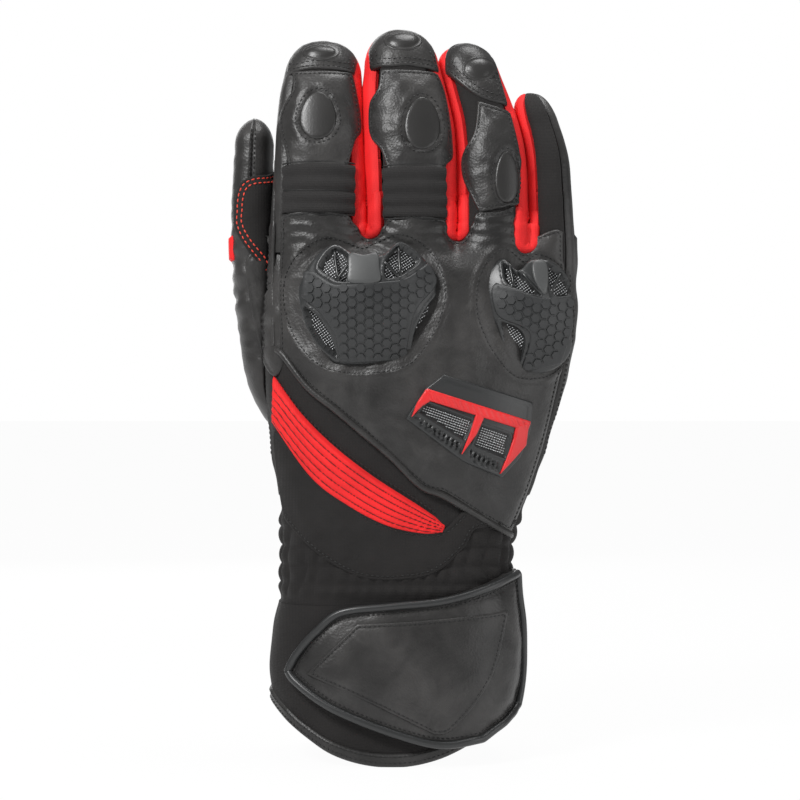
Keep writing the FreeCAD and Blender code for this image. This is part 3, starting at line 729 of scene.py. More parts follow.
# Lays unrolled outlines on a tube: girth from the middle of its back, and way along
class Wrap:
    def __init__(self, tube, at, lift=0.0):
        self.tube, self.lift = tube, lift
        self.angles = np.linspace(90.0, 450.0, 361)
        ring = tube.at(np.full(361, float(at)), self.angles)
        length = np.concatenate([[0], np.cumsum(np.linalg.norm(np.diff(ring, axis=0), axis=1))])
        self.girths = length - np.interp(270.0, self.angles, length)

    def at(self, flat):
        flat = np.asarray(flat, float).reshape(-1, 2)
        angle = np.interp(flat[:, 0], self.girths, self.angles)
        return self.tube.at(flat[:, 1], angle) + self.tube.normal(flat[:, 1], angle) * self.lift

    # Flat points from x and height seen from the back. Points past the edge go to the middle of the side.
    def fromPlan(self, plan):
        out = []
        sweep = np.linspace(182.0, 358.0, 177)
        for x, z in plan:
            ring = self.tube.at(np.full(177, float(z)), sweep)[:, 0]
            out.append((float(np.interp(np.interp(x, ring, sweep), self.angles, self.girths)), z))
        return np.array(out)


stitchRows = {}


# A row of stitches along points, kept until all are made
def seam(spec, points, normals, pitch=1.9, colour="thread", closed=False):
    if closed:
        points, normals = np.vstack([points, points[:1]]), np.vstack([normals, normals[:1]])
    both = thin(np.hstack([points, normals]), pitch)
    tangent = unitRows(np.gradient(both[:, :3], axis=0))
    stitchRows.setdefault((spec, colour), []).append((both[:, :3], tangent, unitRows(both[:, 3:])))


# Stitches at a fixed distance inside a panel's edge
def sewEdge(spec, panel, distance=1.3, pitch=1.9, colour="thread", where=None):
    loop = insetLoop(panel.loop, distance)
    loop = loop[np.concatenate([[True], np.linalg.norm(np.diff(loop, axis=0), axis=1) < 6.0])]
    if where is not None:
        loop = loop[where(loop)]
    points, normals = panel.on(loop, 0.12)
    gaps = np.where(np.linalg.norm(np.diff(points, axis=0), axis=1) > 4.0)[0] + 1
    for run in np.split(np.arange(len(points)), gaps):
        if len(run) > 3:
            seam(spec, points[run], normals[run], pitch, colour)


# A round cord or piping along points in mm
def sweep(name, points, radius, material, spec, *nodes, sides=10, lean=None):
    points = np.asarray(points, float)
    tangent = unitRows(np.gradient(points, axis=0))
    up = np.array([0.0, -1.0, 0.0]) if lean is None else np.array(lean, float)
    across = unitRows(np.cross(tangent, up))
    out = np.cross(across, tangent)
    radius = np.broadcast_to(radius, len(points))
    turn = np.linspace(0, 2 * math.pi, sides, endpoint=False)
    circle = np.cos(turn)[:, None] * across[:, None] + np.sin(turn)[:, None] * out[:, None]
    rings = points[:, None] + radius[:, None, None] * circle
    verts = np.vstack([rings.reshape(-1, 3), points[:1], points[-1:]])
    n, faces = len(points), []
    for i in range(n - 1):
        for j in range(sides):
            k = (j + 1) % sides
            faces.append((i * sides + j, (i + 1) * sides + j, (i + 1) * sides + k, i * sides + k))
    for j in range(sides):
        k = (j + 1) % sides
        faces.append((n * sides, j, k))
        faces.append((n * sides + 1, (n - 1) * sides + k, (n - 1) * sides + j))
    return attach(makeObject(name, verts, faces, material), spec, *nodes)


# A smooth open curve through points
def openCurve(points, spacing=1.2):
    points = np.asarray(points, float)
    ends = np.vstack([2 * points[0] - points[1], points, 2 * points[-1] - points[-2]])
    out = []
    for i in range(1, len(ends) - 2):
        p0, p1, p2, p3 = ends[i - 1:i + 3]
        t = np.linspace(0, 1, max(3, int(np.linalg.norm(p2 - p1) / (spacing / 4))), endpoint=False)[:, None]
        out.append(0.5 * (2 * p1 + (p2 - p0) * t + (2 * p0 - 5 * p1 + 4 * p2 - p3) * t ** 2
                          + (3 * p1 - p0 - 3 * p2 + p3) * t ** 3))
    return thin(np.vstack(out + [ends[-2:-1]]), spacing)


# A smooth curve through flat points
def flatCurve(points):
    return openCurve([(x, 0, z) for x, z in points], 1.0)[:, [0, 2]]


# Fingers

fingerLook = {
    "index": {"bend": (-10, 10), "tipBend": (-9, 9), "left": "blackLeather", "right": "redFabric", "seed": 1.0,
              "cap": [(-15.2, 270.2), (-22, 271.8), (-30, 272.2), (-37, 271.4), (-41.8, 270.0)], "capOver": 12.3,
              "tipPad": {"at": (-28.4, 278.4), "half": 7.2, "tall": 3.6},
              "panelLeft": [(-39.6, 271.4), (-39.5, 263.5), (-43.0, 257.3), (-45.0, 251.4), (-43.4, 244.4),
                            (-41.8, 238.5), (-40.5, 231.6)],
              "panelRight": [(-16.2, 271.0), (-14.5, 263.5), (-11.9, 254.5), (-12.6, 247.1), (-14.5, 243.6),
                             (-16.0, 238.1), (-17.6, 231.6)],
              "egg": {"at": (-29.2, 252.6), "half": 7.0, "tall": 9.8},
              "pleats": {"low": 213.4, "high": 231.6, "ribs": 4, "span": (222, 316)}},
    "middle": {"bend": (-10, 10), "tipBend": (-9, 9), "left": "redFabric", "right": "redFabric", "seed": 2.0,
               "cap": [(18.5, 270.6), (12, 272.8), (5, 273.4), (-1, 273.0), (-8.6, 272.0)], "capOver": 12.3,
               "tipPad": {"at": (4.2, 283.2), "half": 7.4, "tall": 4.2},
               "panelLeft": [(-4.6, 272.0), (-5.5, 264.3), (-8.6, 258.5), (-9.0, 249.5), (-7.8, 243.6),
                             (-4.3, 238.9), (-1.6, 230.4)],
               "panelRight": [(17.6, 271.0), (21.1, 264.3), (23.4, 254.5), (24.2, 244.4), (23.6, 236.6),
                              (21.1, 233.0), (20.9, 230.0)],
               "egg": {"at": (11.6, 249.4), "half": 6.8, "tall": 10.8},
               "pleats": {"low": 211.6, "high": 230.4, "ribs": 4, "span": (235, 315)}},
    "ring": {"bend": (5, 19), "tipBend": (-8, 9), "left": "redFabric", "right": "redFabric", "seed": 3.0,
             "cap": [(45.8, 258.0), (41, 259.0), (36, 260.6), (31, 263.4), (25.5, 268.0), (21.5, 271.5)],
             "capOver": 11.0, "tipPad": {"at": (34.6, 272.4), "half": 6.6, "tall": 5.2},
             "panelLeft": [(34.0, 259.5), (32.5, 247.1), (28.8, 239.7), (27.6, 234.6), (28.5, 227.2),
                           (32.1, 218.6), (34.2, 214.2)],
             "panelRight": [(46.6, 255.4), (49.2, 244.4), (50.6, 235.4), (50.4, 226.0), (49.6, 217.6)],
             "egg": {"at": (44.8, 228.4), "half": 4.6, "tall": 10.4}},
    "little": {"bend": (3, 16), "tipBend": (-9, 9), "left": "redFabric", "right": "blackLeather", "seed": 4.0},
}
fingerSheets = {      # how thick, puffed and creased each leather piece on a finger is, in mm
    "cap": {"thick": 1.1, "puff": 0.35, "crease": 0.4, "creaseSize": 6.0, "grid": 1.3},
    "tipPad": {"thick": 1.7, "roll": 0.7, "groove": 1.1, "puff": 0.6, "puffOver": 3.0, "grid": 1.0},
    "panel": {"thick": 1.1, "puff": 0.5, "crease": 0.55, "creaseSize": 5.5, "grid": 1.3},
    "knucklePad": {"thick": 1.6, "roll": 0.9, "groove": 9.0, "puff": 2.5, "puffOver": 5.0, "grid": 1.1},
    "tilt": 42, "capWidth": 0.93, "padFill": 0.7, "eggFill": 0.75, "eggTaper": 0.16,
    "sideSwell": 1.5, "sideSink": 0.5, "palmCrease": 0.5, "palmCreaseSize": 6.0, "palmSeams": (-3.4, 3.0),
}
sideEdge, palmEdge, underEdge = 45.0, 31.0, 55.0      # degrees from straight across


def bends(name):
    knuckle, tip = jointPoint(f"{name}_knuckle"), jointPoint(f"{name}_tip_flex")
    up = np.array([0, 0, 1.0])
    low, high = fingerLook[name]["bend"]
    lowTip, highTip = fingerLook[name]["tipBend"]
    atHand = ("hand", f"{name}_base", tuple(knuckle + low * up), tuple(knuckle + high * up))
    atTip = (f"{name}_base", f"{name}_tip", tuple(tip + lowTip * up), tuple(tip + highTip * up))
    return atHand, atTip


def fingerSkins(name):
    tube, look = tubes[name], fingerLook[name]
    atHand, atTip = bends(name)
    knuckle, tip = jointPoint(f"{name}_knuckle"), jointPoint(f"{name}_tip_flex")
    split = tube.knuckle + (look["bend"][1] + tip[2] + look["tipBend"][0] - knuckle[2]) / 2
    start = tube.knuckle - 22.0
    seed = look["seed"] * 7.0

    def strip(along, across, points):
        swell = fingerSheets["sideSwell"] * np.sin(np.pi * across) ** 0.7
        return swell - fingerSheets["sideSink"] + ripple(points, 14.0, 0.25, seed)

    def palmSide(along, across, points):
        folds = ripple(points, fingerSheets["palmCreaseSize"], fingerSheets["palmCrease"], seed, (0.5, 1.0, 1.6))
        return 0.15 + folds * np.sin(np.pi * across)

    def under(along, across, points):
        return -0.1 + ripple(points, 9.0, 0.2, seed)

    spans = {"Left": ((180 - palmEdge, 180 + sideEdge), look["left"], strip, "sides"),
             "Right": ((-sideEdge, palmEdge), look["right"], strip, "sides"),
             "Palm": ((palmEdge - 1.0, 181 - palmEdge), "palmLeather", palmSide, "palm"),
             "Back": ((360 - underEdge, 180 + underEdge), "softshell", under, "back")}
    for label, (span, material, lift, node) in spans.items():
        lower = patch(f"{name}Base{label}", tube, (start, split), sorted(span), lift, material, rolled=(0, 0, 1, 1))
        upper = patch(f"{name}Tip{label}", tube, (split, tube.end), sorted(span), lift, material, rolled=(0, 0, 1, 1))
        attach(lower, atHand, f"{name}_base_{node}")
        attach(upper, atTip, f"{name}_tip_{node}")
    for edge in (180 - palmEdge, palmEdge):
        for way0, way1, spec in ((tube.knuckle - 4, split, atHand), (split, tube.domeAt + 8, atTip)):
            for inset in fingerSheets["palmSeams"]:
                way = np.linspace(way0, way1, 60)
                angle = np.full(60, edge + inset)
                points = tube.at(way, angle) + tube.normal(way, angle) * 0.4
                seam(spec, points, tube.normal(way, angle))


for fingerName in fingers:
    fingerSkins(fingerName)
print("finger skins made")


# Points all over a limb's skin, 1 mm and 5 degrees apart
def skinPoints(limb):
    ways, angles = np.arange(tubes[limb].ways[0], tubes[limb].ways[-1], 1.0), np.arange(0, 360, 5.0)
    return tubes[limb].at(*np.meshgrid(ways, angles, indexing="ij"))


def toTilt(front, tilted, plan):
    return tilted.flat(front.at(plan))


# Keeps an outline inside what shows of a finger from the back
def clampTo(limb, plan, share=0.955):
    grid = skinPoints(limb)
    out = []
    for x, z in plan:
        level = grid[np.abs(grid[..., 2] - z) < 1.3]
        low, high = level[:, 0].min(), level[:, 0].max()
        middle, half = (low + high) / 2, (high - low) / 2 * share
        out.append((float(np.clip(x, middle - half, middle + half)), z))
    return np.array(out)


# A leather cap over a fingertip. Its lower edge runs from right to left, in x and height.
def makeCap(name):
    look, tilt = fingerLook[name], math.radians(fingerSheets["tilt"])
    front, tilted = Drape((0, 1, 0), [name]), Drape((0, math.cos(tilt), -math.sin(tilt)), [name])
    edge = toTilt(front, tilted, clampTo(name, look["cap"]))
    tube = tubes[name]
    centre = tube.at(np.full(24, tube.domeAt), np.arange(24) * 15.0).mean(axis=0)
    middle = tilted.flat(centre[None])[0]
    ring = tilted.flat(tube.at(np.full(36, tube.domeAt), np.arange(36) * 10.0))
    half = (ring[:, 0].max() - ring[:, 0].min()) / 2 * fingerSheets["capWidth"]
    arc = np.radians(np.linspace(5, 175, 13))
    top = np.column_stack([middle[0] + half * np.cos(arc), middle[1] + look["capOver"] * np.sin(arc)])
    outline = np.vstack([top, edge[::-1]])
    spec = bends(name)[1]
    panel = Panel(tilted, outline, seed=look["seed"], corners=(0, 12, 13, len(outline) - 1), **fingerSheets["cap"])
    attach(panel.build(f"{name}TipCap", "blackLeather"), spec)
    for distance in (1.3, 3.0):
        sewEdge(spec, panel, distance, where=lambda flat: flat[:, 1] < middle[1] - 1.5)
    (x, z), wide, tall = look["tipPad"].values()
    plan = [(x + wide * math.cos(a), z + tall * math.sin(a)) for a in np.radians(np.arange(0, 360, 30))]
    raised = Panel(tilted, toTilt(front, tilted, clampTo(name, plan, 0.9)), **fingerSheets["tipPad"])
    attach(raised.build(f"{name}TipPad", "padLeather"), spec, f"{name}_tip_pad", fill=fingerSheets["padFill"])


# The leather panel over a finger's back with its padded egg, pointed towards the fingertip
def makeBackPanel(name):
    look, spec, front = fingerLook[name], bends(name)[1], Drape((0, 1, 0), [name])
    outline = clampTo(name, look["panelLeft"] + look["panelRight"][::-1])
    (x, z), half, tall = look["egg"].values()
    egg = [(x + half * math.cos(a) * (1 - fingerSheets["eggTaper"] * math.sin(a)), z + tall * math.sin(a))
           for a in np.radians(np.arange(0, 360, 22.5))]
    padLoop = smoothLoop(egg, 1.0)

    def lip(flat, away):
        gap = distanceTo(padLoop, flat)
        gap = np.where(inside(padLoop, flat), -gap, gap)
        return -0.35 * np.exp(-((gap - 1.1) / 0.4) ** 2) + 0.3 * np.exp(-((gap - 2.2) / 0.6) ** 2) - 0.8 * (gap < 0)

    n = len(look["panelLeft"])
    panel = Panel(front, outline, seed=look["seed"] + 9, corners=(0, n - 1, n, len(outline) - 1), shape=lip,
                  **fingerSheets["panel"])
    attach(panel.build(f"{name}BackPanel", "blackLeather"), spec)
    sewEdge(spec, panel)
    points, normals = panel.on(padLoop + outwards(padLoop) * 1.15, 0.1)
    seam(spec, points, normals, closed=True)
    pad = Panel(front, egg, **fingerSheets["knucklePad"])
    attach(pad.build(f"{name}KnucklePad", "padLeather"), spec, f"{name}_knuckle_pad", fill=fingerSheets["eggFill"])


# Stretch ribs over a knuckle, with a thin near-black cord of painted shade in each fold
def makePleats(name):
    tube, pleats, spec = tubes[name], fingerLook[name]["pleats"], bends(name)[0]
    zero = tube.knuckle - jointPoint(f"{name}_knuckle")[2]
    count, low, high, span = pleats["ribs"], pleats["low"], pleats["high"], pleats["span"]

    def fold(along, across, points):
        return 0.1 + 1.15 * np.abs(np.sin(np.pi * along * count)) ** 0.55 + 0.25 * np.sin(np.pi * across)

    folded = patch(f"{name}StretchRibs", tube, (zero + low, zero + high), span, fold, "stretch", step=0.8)
    attach(folded, spec, f"{name}_stretch_ribs")
    # Each fold gets a thin near-black cord: painted shade
    for number in range(count + 1):
        angle = np.linspace(span[0] + 3, span[1] - 3, 40)
        way = np.full(40, zero + low + (high - low) * number / count)
        line = tube.at(way, angle) + tube.normal(way, angle) * (0.35 if 0 < number < count else 0.9)
        sweep(f"{name}PleatShadeLine{number}", line, np.full(40, 0.3), "dark", spec, sides=6)


for part, make in (("tipPad", makeCap), ("egg", makeBackPanel), ("pleats", makePleats)):
    for fingerName in fingers:
        if part in fingerLook[fingerName]:
            make(fingerName)
print("finger panels made")


# Hand and wrist

wristZ = float(wristAt[2])
atWrist = ("cuff", "hand", (0, 0, wristZ - 20), (0, 0, wristZ + 4))
sleeveLook = {"below": 27, "above": 24, "foldsRound": 19, "rowPitch": 7.2, "foldHeight": 1.5, "sink": 0.6,
              "backTo": 211}


def plainCloth(along, across, points):
    return ripple(points, 16.0, 0.35, 8.0) - sleeveLook["sink"]


# Elastic gathers: short upright folds between rows of elastic
def gathers(along, across, points):
    z = points[:, 2]
    inBand = smoothstep(wristZ - 24, wristZ - 18, z) * (1 - smoothstep(wristZ + 6, wristZ + 13, z))
    turn = np.arctan2(points[:, 1], points[:, 0])
    wobble = ripple(points, 11.0, 0.9, 2.0)
    folds = np.abs(np.sin(turn * sleeveLook["foldsRound"] + 1.7 * wobble)) ** 0.7
    rows = np.abs(np.sin((z - wristZ + 24) * math.pi / sleeveLook["rowPitch"])) ** 0.6
    return inBand * (0.4 + sleeveLook["foldHeight"] * folds * rows) + plainCloth(along, across, points)


sleeve = patch("wristSleeve", hand, (wristZ - sleeveLook["below"], wristZ + sleeveLook["above"]), (0, 360),
               gathers, "softshell", step=0.9, rolled=(1, 0, 0, 0))
attach(sleeve, atWrist, "gathered_wrist")
upperBack = patch("handSoftshell", hand, (wristZ + sleeveLook["above"], sleeveLook["backTo"]), (176, 364),
                  plainCloth, "softshell", step=1.6, rolled=(0, 1, 0, 0))
attach(upperBack, "hand", "wrist_softshell")


palmSkinLook = {"fromWrist": 16, "to": 207, "span": (-6, 186), "crease": 0.9, "creaseSize": 9.0, "swell": 0.5}


def palmFolds(along, across, points):
    creases = ripple(points, palmSkinLook["creaseSize"], palmSkinLook["crease"], 3.0, (1.0, 1.0, 0.8))
    return 0.25 + creases * smoothstep(0.0, 0.15, along) + palmSkinLook["swell"] * np.sin(np.pi * across)


palmSkin = patch("palmLeather", hand, (wristZ + palmSkinLook["fromWrist"], palmSkinLook["to"]), palmSkinLook["span"],
                 palmFolds, "palmLeather")
attach(palmSkin, "hand", "palm_leather")
for edge, turn in zip(palmSkinLook["span"], (2.6, -2.6)):
    way = np.linspace(wristZ + 34, 200, 90)
    for angle in (np.full(90, edge + turn), np.full(90, edge + 1.9 * turn)):
        base = hand.at(way, angle)
        height = palmFolds((way - wristZ - 16) / (191 - wristZ), np.full(90, 0.02), base) + 0.08
        seam("hand", base + hand.normal(way, angle) * height[:, None], hand.normal(way, angle))

backDrape = Drape((0, 1, 0), ["hand", "index", "middle", "ring", "little"], soften=2.4)
backLook = {
    "outline": [(-43.6, 213.6), (-30, 215.4), (-17.6, 213.8), (-13.6, 208.6), (-11.2, 204.6), (-6.6, 204.2),
                (-4.2, 207.4),
                (-1.8, 211.8), (8.0, 213.6), (21.4, 211.6), (21.6, 206.6), (23.4, 203.6), (27.4, 203.4), (29.9, 206.4),
                (33.2, 214.8), (42.0, 214.8), (48.0, 217.0), (47.9, 206.0), (49.6, 199.6), (53.0, 198.8), (55.2, 204.6),
                (64.0, 208.0), (70.6, 207.2), (72.0, 196.0), (72.4, 180.0), (71.4, 162.0), (67.4, 146.0), (60.6, 124.0),
                (53.4, 104.0), (46.4, 88.8), (34.0, 96.2), (20.5, 104.8), (11.0, 108.4), (-12.5, 129.9),
                (-32.5, 146.4), (-43.6, 159.0), (-44.2, 185.0), (-43.6, 204.0)],
    "corners": (0, 2, 7, 9, 14, 16, 20, 22, 29, 30, 35),
    "sheet": {"thick": 1.0, "puff": 0.3, "crease": 0.75, "creaseSize": 11.0, "seed": 21.0, "stretch": (1.2, 1.0, 0.75),
              "grid": 1.35},
    "guardSeams": {
        "large": [(-26, 203.2), (-34, 198.4), (-39.6, 190), (-40.6, 178.5), (-36.6, 166), (-28.8, 156.4), (-20, 152.8),
                  (-8, 152.2), (4.6, 154.6), (11.6, 161.4), (17, 171.4), (19.6, 182), (16.8, 193), (10.4, 201.2),
                  (2.6, 204.4), (-5.4, 200.8), (-11, 198.4), (-17.6, 200.8)],
        "small": [(43.4, 198.6), (36, 191.2), (33.6, 181.5), (34.4, 171.4), (39.8, 160), (47.6, 151.2), (57.4, 150.6),
                  (65.6, 155), (70.2, 163.4), (71, 174), (69.8, 184.6), (64.8, 193.4), (57.2, 196.8), (51, 193.6)]},
    "seamDip": 0.5, "seamRise": 0.55, "underGuard": 0.7, "pulledFolds": 0.34, "foldsAt": 206,
}
guardLoops = [smoothLoop(points, 1.0) for points in backLook["guardSeams"].values()]


# Around each guard the leather dips to a seam, then rises again. It lies low under the guard.
def guardLip(flat, away):
    total = np.zeros(len(flat))
    for loop in guardLoops:
        gap = distanceTo(loop, flat)
        gap = np.where(inside(loop, flat), -gap, gap)
        total -= backLook["seamDip"] * np.exp(-((gap - 0.3) / 0.5) ** 2)
        total += backLook["seamRise"] * np.exp(-((gap - 1.9) / 0.9) ** 2)
        total -= backLook["underGuard"] * smoothstep(-0.2, -2.0, gap)
    pull = np.exp(-((flat[:, 1] - backLook["foldsAt"] - 0.12 * np.abs(flat[:, 0])) / 9.0) ** 2)
    waves = np.sin(flat[:, 1] * 1.35 + 0.25 * flat[:, 0] + 2.2 * np.sin(flat[:, 0] * 0.23))
    return total + backLook["pulledFolds"] * pull * waves


# Keeps an outline inside what shows of the hand from the back
def clampHand(plan, share=0.965):
    out = []
    for x, z in plan:
        if z < 212:
            ring = hand.at(np.full(60, min(z, 205.0)), np.linspace(185, 355, 60))[:, 0]
            middle, half = (ring.min() + ring.max()) / 2, (ring.max() - ring.min()) / 2
            x = float(np.clip(x, middle - half * share, middle + half * share))
        out.append((x, z))
    return out


backPanel = Panel(backDrape, clampHand(backLook["outline"]), corners=backLook["corners"], shape=guardLip,
                  **backLook["sheet"])
attach(backPanel.build("backLeather", "blackLeather"), "hand", "back_leather")
sewEdge("hand", backPanel)
for loop in guardLoops:
    points, normals = backPanel.on(loop + outwards(loop) * (1 if signedArea(loop) > 0 else -1), 0.12)
    seam("hand", points, normals, closed=True)
print("back leather made")

# Red corners between the fingers: where each one's lowest point is, and half its width
crotchLook = {"corners": [(-8.7, 204.2, 4.4), (25.4, 203.4, 4.7), (52.7, 198.0, 5.2)], "valley": 0.9, "fade": 1.4,
              "sheet": {"thick": 1.7, "roll": 1.6, "groove": 9.0, "puff": 1.2, "puffOver": 3.4, "grid": 0.7,
                        "sink": 2.4}}


def makeCrotch(number, x, z, width):
    gusset = [(x + width * math.cos(a), z + width + width * math.sin(a)) for a in np.radians(np.arange(180, 361, 20))]
    gusset += [(x + width * side, z + up) for side, up in ((0.9, 14), (0.5, 19), (-0.5, 19), (-0.9, 14))]

    def split(flat, away):
        valley = np.exp(-((np.abs(flat[:, 0] - x) - 0.35 * np.clip(z + 6.5 - flat[:, 1], 0, 9)) / 0.45) ** 2)
        fade = crotchLook["fade"] * smoothstep(z + 10, z + 19, flat[:, 1])
        return -crotchLook["valley"] * valley * smoothstep(z + 2.6, z + 4.2, flat[:, 1]) - fade

    corner = Panel(backDrape, gusset, shape=split, **crotchLook["sheet"])
    attach(corner.build(f"fingerCrotch{number}", "redFabric"), "hand", *(["finger_crotches"] if number == 0 else []))


for number, corner in enumerate(crotchLook["corners"]):
    makeCrotch(number, *corner)

# Rolled edge of the back leather and the red ribbed panel below it
pipingLook = {"path": [(-45.2, 160.6), (-42, 157.6), (-32.5, 145.6), (-22, 137.2), (-12.5, 129.2), (0, 118.6),
                       (11.0, 107.7), (20.3, 103.6), (34.0, 95.4), (48.0, 87.6)], "radius": 1.35, "lift": 0.9}
pipingAt = backDrape.at(flatCurve(clampHand(pipingLook["path"])))
pipingAt[:, 1] -= pipingLook["lift"]
sweep("diagonalPiping", pipingAt, pipingLook["radius"], "blackLeather", "hand", "diagonal_piping")

handDrape = Drape((0, 1, 0), ["hand"])
ribLook = {"top": [(-46.4, 150.2), (-35.2, 135.4), (-22.3, 122.8), (-7.4, 111.4), (10.2, 100.1), (20.8, 92.8)],
           "low": [(-48.0, 132.2), (-31.3, 110.4), (-17.2, 99.6), (-2.3, 91.9), (10.9, 88.9), (19.8, 89.0)],
           "ribs": 6, "ribHeight": 1.25, "lineRadius": 0.15, "fill": 0.5,
           "sheet": {"thick": 1.3, "roll": 0.8, "groove": 9.0, "grid": 0.75, "corners": (0, 5, 6, 11)}}
ribTop, ribLow = flatCurve(ribLook["top"]), flatCurve(ribLook["low"])


def lengthwiseRibs(flat, away):
    top = np.min(np.linalg.norm(flat[:, None] - ribTop[None], axis=2), axis=1)
    low = np.min(np.linalg.norm(flat[:, None] - ribLow[None], axis=2), axis=1)
    share = top / np.maximum(top + low, 1e-6)
    wave = np.abs(np.sin(np.pi * share * ribLook["ribs"])) ** 0.6
    return ribLook["ribHeight"] * wave * smoothstep(0.0, 1.5, away) - 0.4


ribs = Panel(handDrape, clampHand(ribLook["top"] + ribLook["low"][::-1]), shape=lengthwiseRibs, **ribLook["sheet"])
attach(ribs.build("redRibPanel", "redFabric"), "hand", "red_rib_panel", fill=ribLook["fill"])
even = np.linspace(0, 1, 60)
lines = [np.column_stack([np.interp(even * (len(row) - 1), np.arange(len(row)), row[:, k]) for k in (0, 1)])
         for row in (ribTop, ribLow)]
# A thin near-black cord along each valley between the ribs: painted shade
for number in range(1, ribLook["ribs"]):
    share = number / ribLook["ribs"]
    valley = lines[0] * (1 - share) + lines[1] * share
    valley = valley[inside(ribs.loop, valley) & (distanceTo(ribs.loop, valley) > 0.8)]
    sweep(f"ribShadeLine{number}", ribs.on(valley, 0.0)[0], ribLook["lineRadius"], "dark", "hand", sides=6)
besideRibs = flatCurve([(x - 1.4, z + 2.6) for x, z in ribTop[::6]])
forwards = np.tile([0.0, -1.0, 0.0], (len(besideRibs), 1))
seam("hand", handDrape.at(besideRibs) + forwards * 0.3, forwards)

skirtLook = {"outline": [(-45.6, 129), (-31.3, 111.6), (-17.2, 101), (-2.3, 93.4), (10.9, 90.2), (20, 91), (30, 99),
                         (38, 93), (31.7, 90.3), (27.8, 83.7), (18.8, 75.3), (8.6, 71.8), (-10.6, 71.8), (-27, 79.8),
                         (-38.4, 90.4), (-46.0, 99)], "sewnBelow": 96,
             "sheet": {"thick": 1.5, "roll": 1.0, "puff": 0.3, "crease": 0.7, "creaseSize": 9.0, "seed": 27.0,
                       "grid": 1.2, "sink": 1.4}}
skirt = Panel(handDrape, clampHand(skirtLook["outline"]), **skirtLook["sheet"])
attach(skirt.build("softshellSkirt", "softshell"), atWrist)
sewEdge(atWrist, skirt, 1.6, where=lambda flat: flat[:, 1] < skirtLook["sewnBelow"])

# Palm: patch and heel pad
palmDrape = Drape((0, -1, 0), ["hand"])


def mirrored(plan):
    return [(-x, z) for x, z in plan]


palmLook = {"patch": [(-30, 160), (-36, 136), (-30, 112), (4, 104), (38, 112), (52, 138), (50, 160), (8, 168)],
            "patchSheet": {"thick": 1.5, "puff": 0.3, "crease": 0.6, "creaseSize": 8.0, "seed": 31.0, "grid": 1.6},
            "heel": [(14, 114), (38, 116), (45, 133), (34, 141), (18, 135)], "heelFill": 0.6,
            "heelSheet": {"thick": 2.3, "puff": 1.6, "roll": 1.0, "crease": 0.3, "creaseSize": 6.0, "seed": 33.0,
                          "grid": 1.4, "groove": 1.4}}
palmPatch = Panel(palmDrape, mirrored(palmLook["patch"]), **palmLook["patchSheet"])
attach(palmPatch.build("palmPatch", "palmLeather"), "hand", "palm_patch")
sewEdge("hand", palmPatch)
sewEdge("hand", palmPatch, 3.0)
heel = Panel(palmDrape, mirrored(palmLook["heel"]), **palmLook["heelSheet"])
attach(heel.build("palmHeelPad", "palmLeather"), "hand", "palm_heel_pad", fill=palmLook["heelFill"])
sewEdge("hand", heel, 1.4)
print("palm made")


# Thumb

thumbLook = {
    "side": [(-41.0, 203), (-41.0, 186), (-41.0, 170), (-42.4, 158), (-45.6, 150), (-50.6, 156), (-54.6, 170),
             (-57.4, 184), (-58.4, 196), (-55, 200), (-49, 202)], "sideMargin": 2.6,
    "sideSheet": {"thick": 1.2, "puff": 0.3, "crease": 0.7, "creaseSize": 10.0, "seed": 43.0,
                  "stretch": (0.6, 1.0, 1.5), "grid": 1.4, "sink": 2.4},
    "palm": [(-45, 205), (-36, 196), (-30, 180), (-29, 160), (-34, 141), (-40, 133), (-46, 138), (-51, 150),
             (-55.6, 166), (-58.4, 182), (-59.4, 196), (-56, 204), (-50, 206)], "palmMargin": 3.2,
    "palmSheet": {"thick": 1.3, "puff": 0.5, "puffOver": 9.0, "crease": 0.9, "creaseSize": 11.0, "seed": 46.0,
                  "stretch": (0.7, 1.0, 1.3), "grid": 1.5, "sink": 2.4},
    "patch": [(-46.4, 231.4), (-51, 230.8), (-55.9, 229.9), (-59.8, 227.6), (-61.8, 222.9), (-62.4, 216.1),
              (-62.2, 210.0), (-59.4, 203.3), (-53.6, 194.7), (-48.5, 186.7), (-46.0, 187.5), (-45.6, 208)],
    "patchMargin": 2.2, "redStitches": (1.3, 3.1),
    "patchSheet": {"thick": 1.5, "roll": 0.5, "puff": 0.2, "crease": 0.3, "creaseSize": 9.0, "seed": 44.0,
                   "grid": 1.3, "sink": 2.0},
    "tab": {"heights": (196.6, 206.6), "span": (172, 216), "thick": 1.3},
    "crease": 1.0, "creaseSize": 6.5, "rootSink": 2.0, "seams": (266.0, 276.0, 84.0, 96.0),
    "piping": [(-46.0, 236), (-46.4, 222), (-46.6, 210), (-46.9, 196), (-46.9, 180), (-46.2, 162)], "pipingRadius": 0.9,
}
thumbSplit = (thumb.swing + thumb.flex) / 2
up = np.array([0, 0, 1.0])
atSwing = ("hand", "thumb_base", tuple(swingAt - 10 * up), tuple(swingAt + 10 * up))
atFlex = ("thumb_base", "thumb_tip", tuple(flexAt - 9 * up), tuple(flexAt + 9 * up))


def thumbFolds(along, across, points):
    folds = ripple(points, thumbLook["creaseSize"], thumbLook["crease"], 41.0, (0.6, 0.6, 1.5))
    near = np.exp(-((points[:, 2] - swingAt[2] - 2) / 20.0) ** 2)
    return 0.1 + folds * (0.35 + 0.9 * near)


# The root sinks into the hand at its lower end
def thumbRootFolds(along, across, points):
    return thumbFolds(along, across, points) - thumbLook["rootSink"] * (1 - smoothstep(0.0, 0.3, along))


